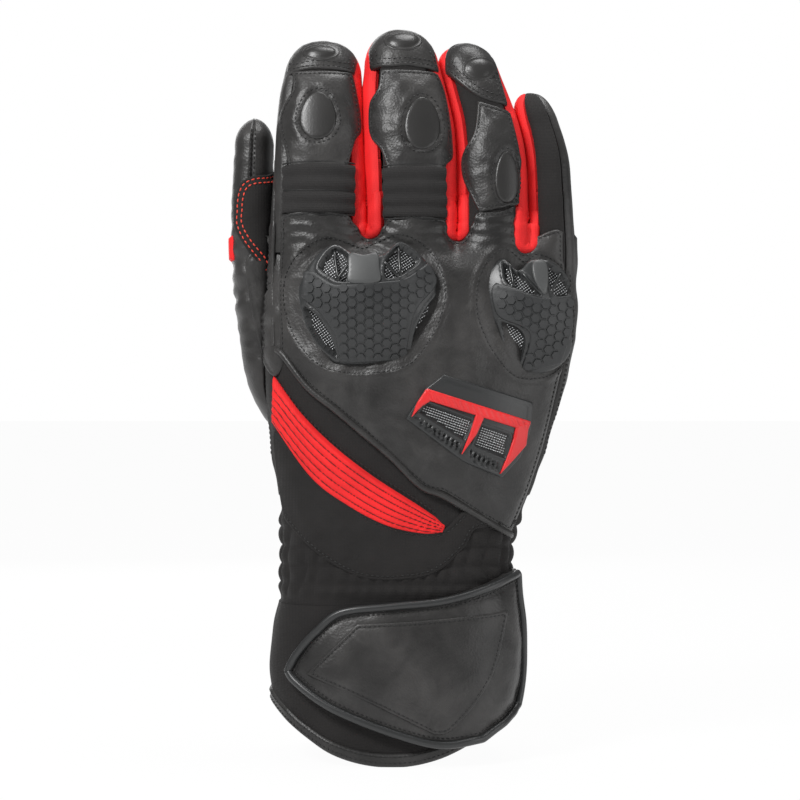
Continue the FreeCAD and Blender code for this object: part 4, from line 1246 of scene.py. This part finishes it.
for label, span, material in (("Outer", (88, 272), "blackLeather"), ("Inner", (-90, 90), "palmLeather")):
    node = label.lower()
    root = patch(f"thumbRoot{label}", thumb, (5.0, thumbSplit), span, thumbRootFolds, material,
                 rolled=(0, 0, 1, 1), step=1.2)
    attach(root, atSwing, f"thumb_base_{node}", *(("thumb_root",) if label == "Outer" else ()))
    end = patch(f"thumbTip{label}", thumb, (thumbSplit, thumb.end), span, thumbFolds, "blackLeather",
                rolled=(0, 0, 1, 1), step=1.2)
    attach(end, atFlex, f"thumb_tip_{node}")
for way0, way1, spec in ((44.0, thumbSplit, atSwing), (thumbSplit, thumb.domeAt + 6, atFlex)):
    for line in thumbLook["seams"]:
        way = np.linspace(way0, way1, 70)
        angle = np.full(70, line)
        base = thumb.at(way, angle)
        out = thumb.normal(way, angle)
        seam(spec, base + out * (thumbFolds(None, None, base) + 0.1)[:, None], out)
thumbDrape = Drape((0, 1, 0), ["hand", "thumb"], soften=4.0)
leftShapes = np.vstack([skinPoints(limb).reshape(-1, 3) for limb in ("hand", "thumb")])


# Keeps an outline inside what shows of the hand and thumb on the left
def clampLeft(plan, margin=0.9):
    return [(max(x, leftShapes[np.abs(leftShapes[:, 2] - z) < 1.3, 0].min() + margin), z) for x, z in plan]


side = Panel(thumbDrape, clampLeft(thumbLook["side"], thumbLook["sideMargin"]),
             shape=lambda flat, away: -1.0 * smoothstep(-45.5, -42.5, flat[:, 0]), **thumbLook["sideSheet"])
attach(side.build("thumbSide", "blackLeather"), atSwing)
thenar = Panel(Drape((0, -1, 0), ["hand", "thumb"], soften=5.0),
               mirrored(clampLeft(thumbLook["palm"], thumbLook["palmMargin"])), **thumbLook["palmSheet"])
attach(thenar.build("thumbPalm", "palmLeather"), atSwing)
sewEdge(atSwing, thenar)
sewEdge(atSwing, thenar, 3.0)
thumbPatch = Panel(thumbDrape, clampLeft(thumbLook["patch"], thumbLook["patchMargin"]), **thumbLook["patchSheet"])
attach(thumbPatch.build("thumbPatch", "softshell"), atSwing)
for distance in thumbLook["redStitches"]:
    sewEdge(atSwing, thumbPatch, distance, 2.1, "redThread", lambda flat: flat[:, 0] < -47.5)
outerLevels = thumb.at(thumb.ways, np.full(len(thumb.ways), 180.0))[:, 2]
tabWays = [float(np.interp(z, outerLevels, thumb.ways)) for z in thumbLook["tab"]["heights"]]
redTab = patch("thumbRedTab", thumb, tabWays, thumbLook["tab"]["span"],
               lambda along, across, points: np.full(len(points), thumbLook["tab"]["thick"]), "redFabric", step=0.9)
attach(redTab, atSwing)
sideLine = Drape((0, 1, 0), ["hand", "thumb", "index"], soften=3.0).at(flatCurve(thumbLook["piping"]))
sideLine[:, 1] -= 1.2
sweep("sidePiping", sideLine, thumbLook["pipingRadius"], "blackLeather", bends("index")[0])
print("thumb made")


# Cuff

cuffLook = {"hemRadius": 60.0, "shellBelowWrist": 25.0, "bindingHeight": 5.0, "liningDepth": 3.2,
            "stitches": (1.5, 4.0)}


# Height of the curved hem at a place across
def hemAt(x):
    return cuffLook["hemRadius"] - math.sqrt(cuffLook["hemRadius"] ** 2 - min(abs(x), 50.0) ** 2)


# A band all round the cuff, from low above the curved hem to high, a fixed height or above the hem too
def cuffPatch(name, low, high, lift, material, depth=1.6, step=1.4, hemRolled=True, topRolled=False):
    m, n = 210, max(4, int(abs(high[1] if high[0] == "z" else high[1] - low) / step))
    angle = np.arange(m) * 360.0 / m
    x = hand.at(np.full(m, 20.0), angle)[:, 0]
    start = np.array([hemAt(v) for v in x]) + low
    stop = np.full(m, high[1]) if high[0] == "z" else start - low + high[1]
    u = np.linspace(0, 1, n + 1)[:, None]
    way = start + u * (stop - start)
    turn = angle + 0 * way
    base, normal = hand.at(way, turn).reshape(-1, 3), hand.normal(way, turn).reshape(-1, 3)
    height = lift(way.ravel(), turn.ravel(), base)
    span = (stop - start) + 0 * way
    edge = np.minimum((u * span).ravel() if hemRolled else 99.0, ((1 - u) * span).ravel() if topRolled else 99.0)
    height = height - 1.0 * (1 - np.sqrt(np.clip(1 - (1 - np.clip(edge, 0, 1)) ** 2, 0, 1)))
    top = base + normal * height[:, None]
    faces = [(i * m + j, i * m + (j + 1) % m, (i + 1) * m + (j + 1) % m, (i + 1) * m + j)
             for i in range(n) for j in range(m)]
    return closedSheet(name, top, faces, normal, depth, material)


shell = cuffPatch("cuffShell", 3.6, ("z", wristZ - cuffLook["shellBelowWrist"]),
                  lambda way, angle, points: ripple(points, 15.0, 0.5, 51.0) - 0.1, "softshell", depth=2.6)
attach(shell, "cuff", "cuff_shell")
binding = cuffPatch("hemBinding", -0.2, ("hem", cuffLook["bindingHeight"]),
                    lambda way, angle, points: np.full(len(points), 0.9), "blackLeather", depth=4.6, step=0.7,
                    topRolled=True)
attach(binding, "cuff", "hem_binding")
lining = cuffPatch("cuffLining", 4.8, ("z", wristZ + 2.0),
                   lambda way, angle, points: ripple(points, 5.0, 0.3, 54.0) - cuffLook["liningDepth"], "fleece",
                   depth=1.7)
attach(lining, "cuff", "cuff_lining")
inner = patch("handLining", hand, (wristZ + 2.0, 196), (0, 360),
              lambda along, across, points: -3.4 + ripple(points, 6.0, 0.3, 55.0), "fleece", depth=1.5, step=2.4,
              rolled=(0, 0, 0, 0))
attach(inner, "hand", "hand_lining")
for offset in cuffLook["stitches"]:
    angle = np.linspace(0, 360, 400)
    x = hand.at(np.full(400, 20.0), angle)[:, 0]
    way = np.array([hemAt(v) for v in x]) + offset
    seam("cuff", hand.at(way, angle) + hand.normal(way, angle) * 1.0, hand.normal(way, angle))


# Closing flap

flapLook = {
    "outline": [(-39.6, 35.4), (-36.0, 43.0), (-29.0, 51.8), (-19.2, 59.8), (0.0, 62.4), (18.0, 64.2), (34.0, 68.6),
                (42.4, 72.6), (46.4, 74.4), (47.6, 58.0), (48.4, 40.0), (46.6, 20.4), (33.0, 8.9), (18.0, 7.4),
                (0.0, 11.9), (-22.0, 20.8), (-36.0, 30.4)],
    "sheet": {"thick": 2.2, "roll": 1.1, "groove": 4.6, "puff": 0.5, "crease": 0.7, "creaseSize": 13.0, "seed": 61.0,
              "corners": (0, 7, 8, 11, 12), "sink": -0.2, "grid": 1.6},
    "lift": 1.3, "pipingInset": 1.5, "pipingRadius": 1.6,
    "inset": [(-13.0, 54.3), (-22.0, 45.0), (-31.6, 34.9), (-10, 25.6), (16.0, 12.6), (21.8, 14.2), (32, 26.0),
              (38.0, 38.0), (42.2, 58.6), (30, 57.2), (8, 55.4)],
    "insetSheet": {"thick": 3.6, "roll": 1.0, "puff": 0.2, "crease": 0.25, "creaseSize": 16.0, "seed": 63.0,
                   "corners": (0, 2, 4, 8), "grid": 1.6, "sink": -1.4},
}
flapWrap = Wrap(hand, 40.0, lift=flapLook["lift"])
flap = Panel(flapWrap, flapWrap.fromPlan(flapLook["outline"]), **flapLook["sheet"])
attach(flap.build("flapLeather", "blackLeather"), "flap", "flap_leather")
edgeAt = flap.on(insetLoop(flap.loop, flapLook["pipingInset"]), 0.25)[0]
sweep("flapPiping", np.vstack([edgeAt, edgeAt[:1]]), flapLook["pipingRadius"], "rubberTrim", "flap", "flap_piping")
sewEdge("flap", flap, 3.9)
insetPanel = Panel(flapWrap, flapWrap.fromPlan(flapLook["inset"]), **flapLook["insetSheet"])
attach(insetPanel.build("flapPanel", "blackLeather"), "flap", "flap_panel")
sewEdge("flap", insetPanel)
tapeLow, tapeHigh = boxOf("hook_tape")
tapeFlat = flapWrap.fromPlan([(tapeLow[0], tapeLow[2]), (tapeHigh[0], tapeLow[2]), (tapeHigh[0], tapeHigh[2]),
                              (tapeLow[0], tapeHigh[2])])
hook = Panel(Wrap(hand, 40.0, lift=0.5), tapeFlat, thick=0.7, roll=0.3, corners=(0, 1, 2, 3), sink=0.0)
attach(hook.build("hookTape", "hookAndLoop"), "flap", "hook_tape")
loopTape = Panel(Wrap(hand, 40.0), tapeFlat, thick=0.35, roll=0.3, corners=(0, 1, 2, 3))
attach(loopTape.build("loopTape", "hookAndLoop"), "cuff", "loop_tape")
print("cuff and flap made")


# Stitches: one small rounded thread per stitch, placed by a node tree

# Puts a copy of a small shape on every point, turned to the point's own out and along directions
def scatterTree(name, kind):
    tree = bpy.data.node_groups.new(name, "GeometryNodeTree")
    face = tree.interface
    face.new_socket("Geometry", in_out="INPUT", socket_type="NodeSocketGeometry")
    for label in ("Length", "Width", "Height"):
        face.new_socket(label, in_out="INPUT", socket_type="NodeSocketFloat")
    face.new_socket("Material", in_out="INPUT", socket_type="NodeSocketMaterial")
    face.new_socket("Geometry", in_out="OUTPUT", socket_type="NodeSocketGeometry")
    nodes, link = tree.nodes, tree.links.new
    start, end = nodes.new("NodeGroupInput"), nodes.new("NodeGroupOutput")
    if kind == "round":
        shape = nodes.new("GeometryNodeMeshUVSphere")
        shape.inputs["Segments"].default_value, shape.inputs["Rings"].default_value = 8, 5
        shape.inputs["Radius"].default_value = 0.5
    else:
        shape = nodes.new("GeometryNodeMeshCone")
        shape.inputs["Vertices"].default_value = 6
        shape.inputs["Radius Top"].default_value, shape.inputs["Radius Bottom"].default_value = 0.44, 0.5
        shape.inputs["Depth"].default_value = 1.0
    size = nodes.new("ShaderNodeCombineXYZ")
    for label, axis in (("Length", "X"), ("Width", "Y"), ("Height", "Z")):
        link(start.outputs[label], size.inputs[axis])
    directions = []
    for label in ("out", "along"):
        read = nodes.new("GeometryNodeInputNamedAttribute")
        read.data_type = "FLOAT_VECTOR"
        read.inputs["Name"].default_value = label
        directions.append(read.outputs["Attribute"])
    up, turn = nodes.new("FunctionNodeAlignRotationToVector"), nodes.new("FunctionNodeAlignRotationToVector")
    up.axis, turn.axis, turn.pivot_axis = "Z", "X", "Z"
    link(directions[0], up.inputs["Vector"])
    link(up.outputs["Rotation"], turn.inputs["Rotation"])
    link(directions[1], turn.inputs["Vector"])
    spread = nodes.new("GeometryNodeInstanceOnPoints")
    link(start.outputs["Geometry"], spread.inputs["Points"])
    link(shape.outputs["Mesh"], spread.inputs["Instance"])
    link(turn.outputs["Rotation"], spread.inputs["Rotation"])
    link(size.outputs["Vector"], spread.inputs["Scale"])
    real, paint = nodes.new("GeometryNodeRealizeInstances"), nodes.new("GeometryNodeSetMaterial")
    link(spread.outputs["Instances"], real.inputs["Geometry"])
    link(real.outputs["Geometry"], paint.inputs["Geometry"])
    link(start.outputs["Material"], paint.inputs["Material"])
    link(paint.outputs["Geometry"], end.inputs["Geometry"])
    return tree


# Makes a plain mesh of small shapes on points
def scatter(name, tree, points, along, out, size, material):
    mesh = bpy.data.meshes.new(name)
    mesh.from_pydata([tuple(float(c) / unit for c in p) for p in points], [], [])
    for label, values in (("along", along), ("out", out)):
        stored = mesh.attributes.new(label, "FLOAT_VECTOR", "POINT")
        stored.data.foreach_set("vector", np.asarray(values, np.float32).ravel())
    obj = bpy.data.objects.new(name, mesh)
    bpy.context.scene.collection.objects.link(obj)
    modifier = obj.modifiers.new("Scatter", "NODES")
    modifier.node_group = tree
    sockets = {s.name: s.identifier for s in tree.interface.items_tree if s.in_out == "INPUT"}
    for label, value in zip(("Length", "Width", "Height"), size):
        modifier[sockets[label]] = value / unit
    modifier[sockets["Material"]] = materials[material]
    made = bpy.data.meshes.new_from_object(obj.evaluated_get(bpy.context.evaluated_depsgraph_get()))
    obj.modifiers.clear()
    obj.data = made
    obj.data.name = name
    if not made.materials:
        made.materials.append(materials[material])
    return obj


stitchLook = {"thread": (1.35, 0.5, 0.42), "redThread": (1.6, 0.6, 0.5)}      # length, width and height in mm
stitchTree = scatterTree("Stitches", "round")
for number, ((spec, colour), rows) in enumerate(sorted(stitchRows.items(), key=str)):
    points, along, out = (np.vstack([row[k] for row in rows]) for k in range(3))
    made = scatter(f"stitches{number}", stitchTree, points, along, out, stitchLook[colour], colour)
    made.data.polygons.foreach_set("use_smooth", np.ones(len(made.data.polygons), bool))
    attach(made, spec)
print("stitches made:", sum(len(row[0]) for rows in stitchRows.values() for row in rows))


# Guards and badge: moulded frames with vents, ribs, matt plates of hexagons and silver mesh

# The face of a hard part: a smooth swell fitted to the front of its CAD node
class Dome:
    def __init__(self, node, sink):
        tree, (low, high) = cadTree(node), boxOf(node)
        self.right = high[0] - 0.8
        spots = [(x, z) for x in np.arange(low[0], high[0], 1.5) for z in np.arange(low[2], high[2], 1.5)]
        hits = [tree.ray_cast(Vector((x, -90, z)), Vector((0, 1, 0)), 120) for x, z in spots]
        found = np.array([tuple(h[0]) for h in hits if h[0] is not None and h[1].y < -0.5])
        self.middle, self.sink = found.mean(axis=0), sink
        keep = np.ones(len(found), bool)
        for _ in range(4):
            self.fit = np.linalg.lstsq(self.terms(found[keep][:, [0, 2]]), found[keep, 1], rcond=None)[0]
            keep = np.abs(self.terms(found[:, [0, 2]]) @ self.fit - found[:, 1]) < 1.2

    def terms(self, flat):
        x, z = (flat[:, 0] - self.middle[0]) / 20, (flat[:, 1] - self.middle[2]) / 20
        return np.column_stack([np.ones(len(x)), x, z, x * x, z * z, x * z])

    def at(self, flat):
        flat = np.asarray(flat, float).reshape(-1, 2)
        return np.column_stack([flat[:, 0], self.terms(flat) @ self.fit + self.sink, flat[:, 1]])

    def keep(self, plan):
        return [(min(x, self.right), z) for x, z in plan]


# Evenly spaced points inside an outline, and the direction of their rows
def gridOver(loop, pitch, margin, turn=0.0, hexagonal=False):
    middle = (loop.min(axis=0) + loop.max(axis=0)) / 2
    c, s = math.cos(turn), math.sin(turn)
    row = pitch * (0.866 if hexagonal else 1.0)
    spots = [(middle[0] + c * i * row - s * (j + (i % 2) * 0.5 * hexagonal) * pitch,
              middle[1] + s * i * row + c * (j + (i % 2) * 0.5 * hexagonal) * pitch)
             for i in range(-40, 41) for j in range(-40, 41)]
    spots = np.array(spots)
    spots = spots[inside(loop, spots)]
    return spots[distanceTo(loop, spots) > margin], np.array([c, 0.0, s])


hexTree, beadTree = scatterTree("HexCells", "cell"), scatterTree("MeshBeads", "round")


# Woven silver mesh on the floors of a panel's vents
def beads(name, panel, pitch, *nodes, turn=0.6):
    flat = [gridOver(vent, pitch, 0.45, turn) for vent in panel.vents]
    points, normals = panel.on(np.vstack([f[0] for f in flat]), 0.1)
    along = np.tile(flat[0][1], (len(points), 1))
    made = scatter(name, beadTree, points, along, normals, (pitch * 0.98, pitch * 0.55, 0.42), "mesh")
    made.data.polygons.foreach_set("use_smooth", np.ones(len(made.data.polygons), bool))
    return attach(made, "hand", *nodes)


guardSheets = {
    "frame": {"thick": 1.9, "roll": 0.9, "groove": 9.0, "grid": 0.9, "ventDepth": 2.6, "solid": 5.5},
    "plate": {"thick": 2.6, "roll": 0.7, "groove": 9.0, "grid": 1.1},
    "boss": {"thick": 2.7, "roll": 0.7, "groove": 9.0, "grid": 1.0},
    "plateDip": 0.28, "cellPitch": 3.55, "cellHeight": 0.72, "meshPitch": 1.0, "ribRadius": 0.62, "ribLift": 1.9,
}
guardLook = {
    "large": {"node": "large_knuckle_guard", "turn": 0.0, "sink": 1.1,
              "frame": [(-35.1, 184.3), (-34.1, 174.3), (-30.1, 165.3), (-25.1, 159.3), (-19.1, 155.1), (4.8, 156.8),
                        (10.9, 161.9), (17.4, 170.4), (18.4, 179.4), (15.9, 188.4), (10.9, 195.8), (2.5, 201.1),
                        (-2.7, 196.7), (-8.6, 195.3), (-15.1, 196.7), (-22.1, 200.2), (-29.1, 195.3)],
              "plate": [(-33.8, 181.3), (-33.1, 189.8), (-29.6, 189.8), (-22.6, 185.3), (-17.6, 184.8), (-2.7, 185.8),
                        (4.8, 187.3), (13.2, 193.3), (15.4, 189.4), (15.7, 184.4), (7.9, 174.4), (5, 159.4),
                        (5.8, 157.3), (-17.6, 155.9), (-20.1, 159.3), (-21.6, 166.8), (-27.6, 175.3), (-33.1, 179.8)],
              "plateCorners": (1, 7, 12, 13),
              "vents": [([(-27.3, 191.3), (-23.2, 197.6), (-20, 198.2), (-16.4, 195), (-15.4, 191), (-15, 186.4),
                          (-20.3, 186.2), (-23.0, 187.6)], ()),
                        ([(-2.3, 194.2), (1.8, 199.2), (4.3, 199.2), (9.6, 194.2), (4.4, 189.3), (2.3, 188.1),
                          (-2.6, 187.4)], ()),
                        ([(-33.0, 177.0), (-27.1, 172.3), (-23.1, 165.8), (-20.6, 157.6), (-26.1, 161.8),
                          (-30.8, 168.3), (-32.4, 174.3)], (0, 3)),
                        ([(16.2, 181.0), (11.9, 175.4), (8.4, 168.4), (7.0, 161.4), (10.8, 164.4), (14.6, 169.8),
                          (16.6, 176.4)], (0, 3))],
              "boss": [(-16.0, 196.3), (-11, 195.6), (-5.9, 196.3), (-5.0, 191), (-5.4, 185.4), (-16.0, 185.2),
                       (-16.6, 190)],
              "ribs": [((-22.4, 198.6), (-20.3, 185.6)), ((2.4, 200.0), (3.4, 187.4)), ((-15.6, 194.6), (-21.6, 186.0)),
                       ((-3.4, 194.2), (3.0, 187.6))]},
    "small": {"node": "small_knuckle_guard", "turn": -0.12, "sink": 0.7,
              "frame": [(37.4, 186.6), (39.2, 191.6), (43.8, 195.4), (49, 190.6), (53.6, 194.6), (60.4, 194.8),
                        (66.4, 190.4), (71.4, 183.0), (73.6, 175.2), (73.4, 168.4), (69.6, 160.4), (64.8, 154.6),
                        (57.4, 151.6), (49.6, 150.8), (45.4, 157.4), (42.2, 166.4), (38.8, 175.2)],
              "plate": [(39.4, 183.4), (40.9, 185.9), (48.3, 183.3), (55.8, 180.4), (62.3, 180.4), (71.8, 180.9),
                        (73.6, 176.4), (73.4, 169.4), (65.2, 155.8), (49.9, 152.4), (53.3, 164.4), (51.3, 168.9),
                        (42.3, 172.9), (39.8, 178.4)],
              "plateCorners": (1, 8, 9),
              "vents": [([(43.6, 193.2), (49.6, 189.4), (55.0, 184.6), (57.2, 180.9), (51.4, 182.6), (45.0, 186.0)],
                         (0, 3)),
                        ([(60.8, 193.4), (65.8, 189.4), (69.6, 183.4), (68.4, 181.6), (62.4, 181.6), (60.6, 187.0)],
                         (0,)),
                        ([(42.6, 171.2), (48.6, 168.8), (51.4, 164.8), (50.4, 158.6), (48.6, 154.8), (45.0, 162.0)],
                         (0, 4))],
              "boss": [(54.6, 193.6), (59.0, 193.8), (60.2, 189.0), (59.4, 182.2), (57.6, 182.0), (54.6, 187.6)],
              "ribs": [((50.2, 190.6), (58.4, 181.2)), ((45.6, 194.4), (47.4, 184.2)), ((66.2, 190.6), (61.2, 181.8))]},
}
for label, look in guardLook.items():
    dome = Dome(look["node"], look["sink"])
    vents = [(dome.keep(vent), sharp) for vent, sharp in look["vents"]]
    body = Panel(dome, dome.keep(look["frame"]), vents=vents, **guardSheets["frame"])
    attach(body.build(f"{label}GuardFrame", "rubberTrim"), "hand", look["node"])
    dip, pitch = guardSheets["plateDip"], guardSheets["cellPitch"]
    plate = Panel(dome, dome.keep(look["plate"]), corners=look["plateCorners"],
                  shape=lambda flat, away: -dip * smoothstep(0.9, 1.6, away), **guardSheets["plate"])
    attach(plate.build(f"{label}GuardPlate", "guard"), "hand")
    spots, along = gridOver(plate.loop, pitch, 1.35, look["turn"], True)
    points, normals = plate.on(spots, -dip)
    size = (pitch * 1.10, pitch * 1.10, guardSheets["cellHeight"])
    cells = scatter(f"{label}GuardCells", hexTree, points, np.tile(along, (len(points), 1)), normals, size, "guard")
    attach(cells, "hand")
    boss = Panel(dome, dome.keep(look["boss"]), **guardSheets["boss"])
    attach(boss.build(f"{label}GuardBoss", "boss"), "hand")
    for number, (start, end) in enumerate(look["ribs"]):
        line = dome.at(np.linspace(start, end, 9))
        line[:, 1] += 0.9 * (np.abs(np.linspace(-1, 1, 9)) > 0.9) - guardSheets["ribLift"]
        sweep(f"{label}GuardRib{number}", line, guardSheets["ribRadius"], "gloss", "hand", sides=8)
    beads(f"{label}GuardMesh", body, guardSheets["meshPitch"], *(["silver_mesh"] if label == "large" else []))

badgeLook = {
    "outline": [(19.8, 150.6), (54.0, 140), (53.0, 129), (49.1, 118.9), (42.0, 110.8), (27.4, 116.9), (5.2, 133.7),
                (12.9, 145.2)],
    "windows": [([(10.6, 136.3), (13.3, 139.6), (30.6, 132.8), (27.5, 125.6)], (0, 1, 2, 3)),
                ([(34.2, 131.0), (44.4, 127.2), (42.8, 118.6), (31.2, 123.6)], (0, 1, 2, 3))],
    "sheet": {"thick": 2.4, "roll": 0.8, "groove": 1.4, "grid": 0.55, "corners": range(8), "ventDepth": 1.0,
              "sink": 0.2},
    "combs": [((9.6, 134.2), (26.0, 124.0)), ((30.0, 121.6), (40.4, 116.4))], "toothPitch": 0.85, "toothHeight": 0.8,
    "meshPitch": 0.95, "meshTurn": -0.34,
    "bars": {"Top": [(13.4, 145.2), (52.6, 132.6), (51.2, 128.8), (12.6, 141.0)],
             "Left": [(13.0, 145.0), (15.2, 140.8), (11.4, 138.4), (7.4, 134.1), (9.4, 139.6)],
             "Middle": [(32.0, 136.2), (35.2, 134.8), (32.0, 127.6), (26.2, 119.6), (29.2, 127.4)],
             "Right": [(51.8, 132.4), (50.6, 123.4), (45.4, 117.4), (40.8, 112.4), (43.6, 119.6), (46.0, 126.2),
                       (46.8, 131.0)]},
    "barSheet": {"thick": 3.5, "roll": 0.6, "groove": 9.0, "grid": 0.5, "sink": 0.0}, "barRibPitch": 2.0,
}


# Rows of upright teeth below the windows
def combTeeth(flat, away):
    total = np.zeros(len(flat))
    for (x0, z0), (x1, z1) in badgeLook["combs"]:
        along = (flat[:, 0] - x0) / (x1 - x0)
        below = z0 + (z1 - z0) * along - flat[:, 1]
        band = smoothstep(-0.4, 0.2, below) * smoothstep(6.0, 5.4, below) * (along > -0.02) * (along < 1.02)
        teeth = np.sign(np.sin((flat[:, 0] + 0.25 * below) * math.pi / badgeLook["toothPitch"]))
        total += band * (badgeLook["toothHeight"] * teeth - 0.25) * smoothstep(1.4, 2.2, away)
    return total


def ribsAcross(flat, away):
    wave = np.abs(np.sin((flat[:, 0] + 0.5 * flat[:, 1]) * math.pi / badgeLook["barRibPitch"]))
    return (0.55 * wave - 0.4) * smoothstep(0.5, 1.1, away)


badge = Panel(backDrape, badgeLook["outline"], shape=combTeeth, vents=badgeLook["windows"], **badgeLook["sheet"])
attach(badge.build("ventBadge", "rubberTrim"), "hand", "vent_base")
sewEdge("hand", badge, 1.2)
beads("badgeMesh", badge, badgeLook["meshPitch"], turn=badgeLook["meshTurn"])
for label, outline in badgeLook["bars"].items():
    bar = Panel(backDrape, outline, corners=range(len(outline)), shape=ribsAcross if label == "Top" else None,
                **badgeLook["barSheet"])
    attach(bar.build(f"badgeBar{label}", "redRubber"), "hand", *(["vent_frame"] if label == "Top" else []))
print("guards made")


# Floor, backdrop, lights and camera

# Pale card that reads as white to the camera and in reflections, and keeps shadows
def paleMaterial(name, share):
    material = bpy.data.materials.new(name)
    material.use_nodes = True
    tree = material.node_tree
    tree.nodes.clear()
    out = tree.nodes.new("ShaderNodeOutputMaterial")
    card, glow, mix = (tree.nodes.new(f"ShaderNode{kind}") for kind in ("BsdfDiffuse", "Emission", "MixShader"))
    card.inputs["Color"].default_value = (0.9, 0.9, 0.9, 1)
    glow.inputs["Color"].default_value = (1, 1, 1, 1)
    path, either = tree.nodes.new("ShaderNodeLightPath"), tree.nodes.new("ShaderNodeMath")
    either.operation = "MAXIMUM"
    tree.links.new(path.outputs["Is Camera Ray"], either.inputs[0])
    tree.links.new(path.outputs["Is Glossy Ray"], either.inputs[1])
    amount = tree.nodes.new("ShaderNodeMath")
    amount.operation = "MULTIPLY"
    amount.inputs[1].default_value = share
    tree.links.new(either.outputs[0], amount.inputs[0])
    tree.links.new(amount.outputs[0], mix.inputs[0])
    tree.links.new(card.outputs[0], mix.inputs[1])
    tree.links.new(glow.outputs[0], mix.inputs[2])
    tree.links.new(mix.outputs[0], out.inputs["Surface"])
    return material


# In metres and watts. A lamp has its place, its size and its power.
stageLook = {"floor": 14.0, "floorWhite": 0.965, "sky": 0.23, "camera": (0.0031, -0.885, 0.1408), "lens": 100.0,
             "lamps": {"key": ((-0.50, -0.62, 0.85), 0.26, 8.8), "fill": ((0.85, -0.5, 0.30), 0.6, 2.0),
                       "top": ((0.15, 0.05, 1.05), 0.40, 4.0), "rear": ((-0.2, 0.9, 0.5), 0.7, 3.4)}}
low, high = restBox
floorMesh = bpy.data.meshes.new("floor")
wide = stageLook["floor"]
corners = [(x * wide, y * wide, low.z) for x, y in ((-1, -1), (1, -1), (1, 1), (-1, 1))]
floorMesh.from_pydata(corners, [], [(0, 1, 2, 3)])
floorMesh.materials.append(paleMaterial("PaleFloor", stageLook["floorWhite"]))
floor = bpy.data.objects.new("floor", floorMesh)
bpy.context.scene.collection.objects.link(floor)
floor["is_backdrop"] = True

world = bpy.data.worlds.new("Studio")
bpy.context.scene.world = world
world.use_nodes = True
tree = world.node_tree
tree.nodes.clear()
kinds = ("Background", "Background", "MixShader", "OutputWorld")
sky, plain, both, out = (tree.nodes.new(f"ShaderNode{kind}") for kind in kinds)
sky.inputs["Color"].default_value, sky.inputs["Strength"].default_value = (1, 1, 1, 1), stageLook["sky"]
plain.inputs["Color"].default_value, plain.inputs["Strength"].default_value = (1, 1, 1, 1), 1.0
seen = tree.nodes.new("ShaderNodeLightPath")
tree.links.new(seen.outputs["Is Camera Ray"], both.inputs[0])
tree.links.new(sky.outputs[0], both.inputs[1])
tree.links.new(plain.outputs[0], both.inputs[2])
tree.links.new(both.outputs[0], out.inputs["Surface"])


def lamp(name, target, where, size, power):
    data = bpy.data.lights.new(name, "AREA")
    data.size, data.energy = size, power
    obj = bpy.data.objects.new(name, data)
    obj.location = where
    obj.rotation_euler = (Vector(target) - Vector(where)).to_track_quat("-Z", "Y").to_euler()
    bpy.context.scene.collection.objects.link(obj)


centre = (low + high) / 2
for name, settings in stageLook["lamps"].items():
    lamp(name, centre, *settings)
print("stage and lamps made")

camera = bpy.data.objects.new("camera", bpy.data.cameras.new("camera"))
camera.data.lens, camera.data.sensor_width = stageLook["lens"], 36.0
camera.location = stageLook["camera"]
camera.rotation_euler = (math.pi / 2, 0, 0)
bpy.context.scene.collection.objects.link(camera)
bpy.context.scene.camera = camera
bpy.context.scene.view_settings.view_transform = "Standard"

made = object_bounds()
print("size", [round((b - a) * unit, 1) for a, b in zip(*restBox)], [round((b - a) * unit, 1) for a, b in zip(*made)])
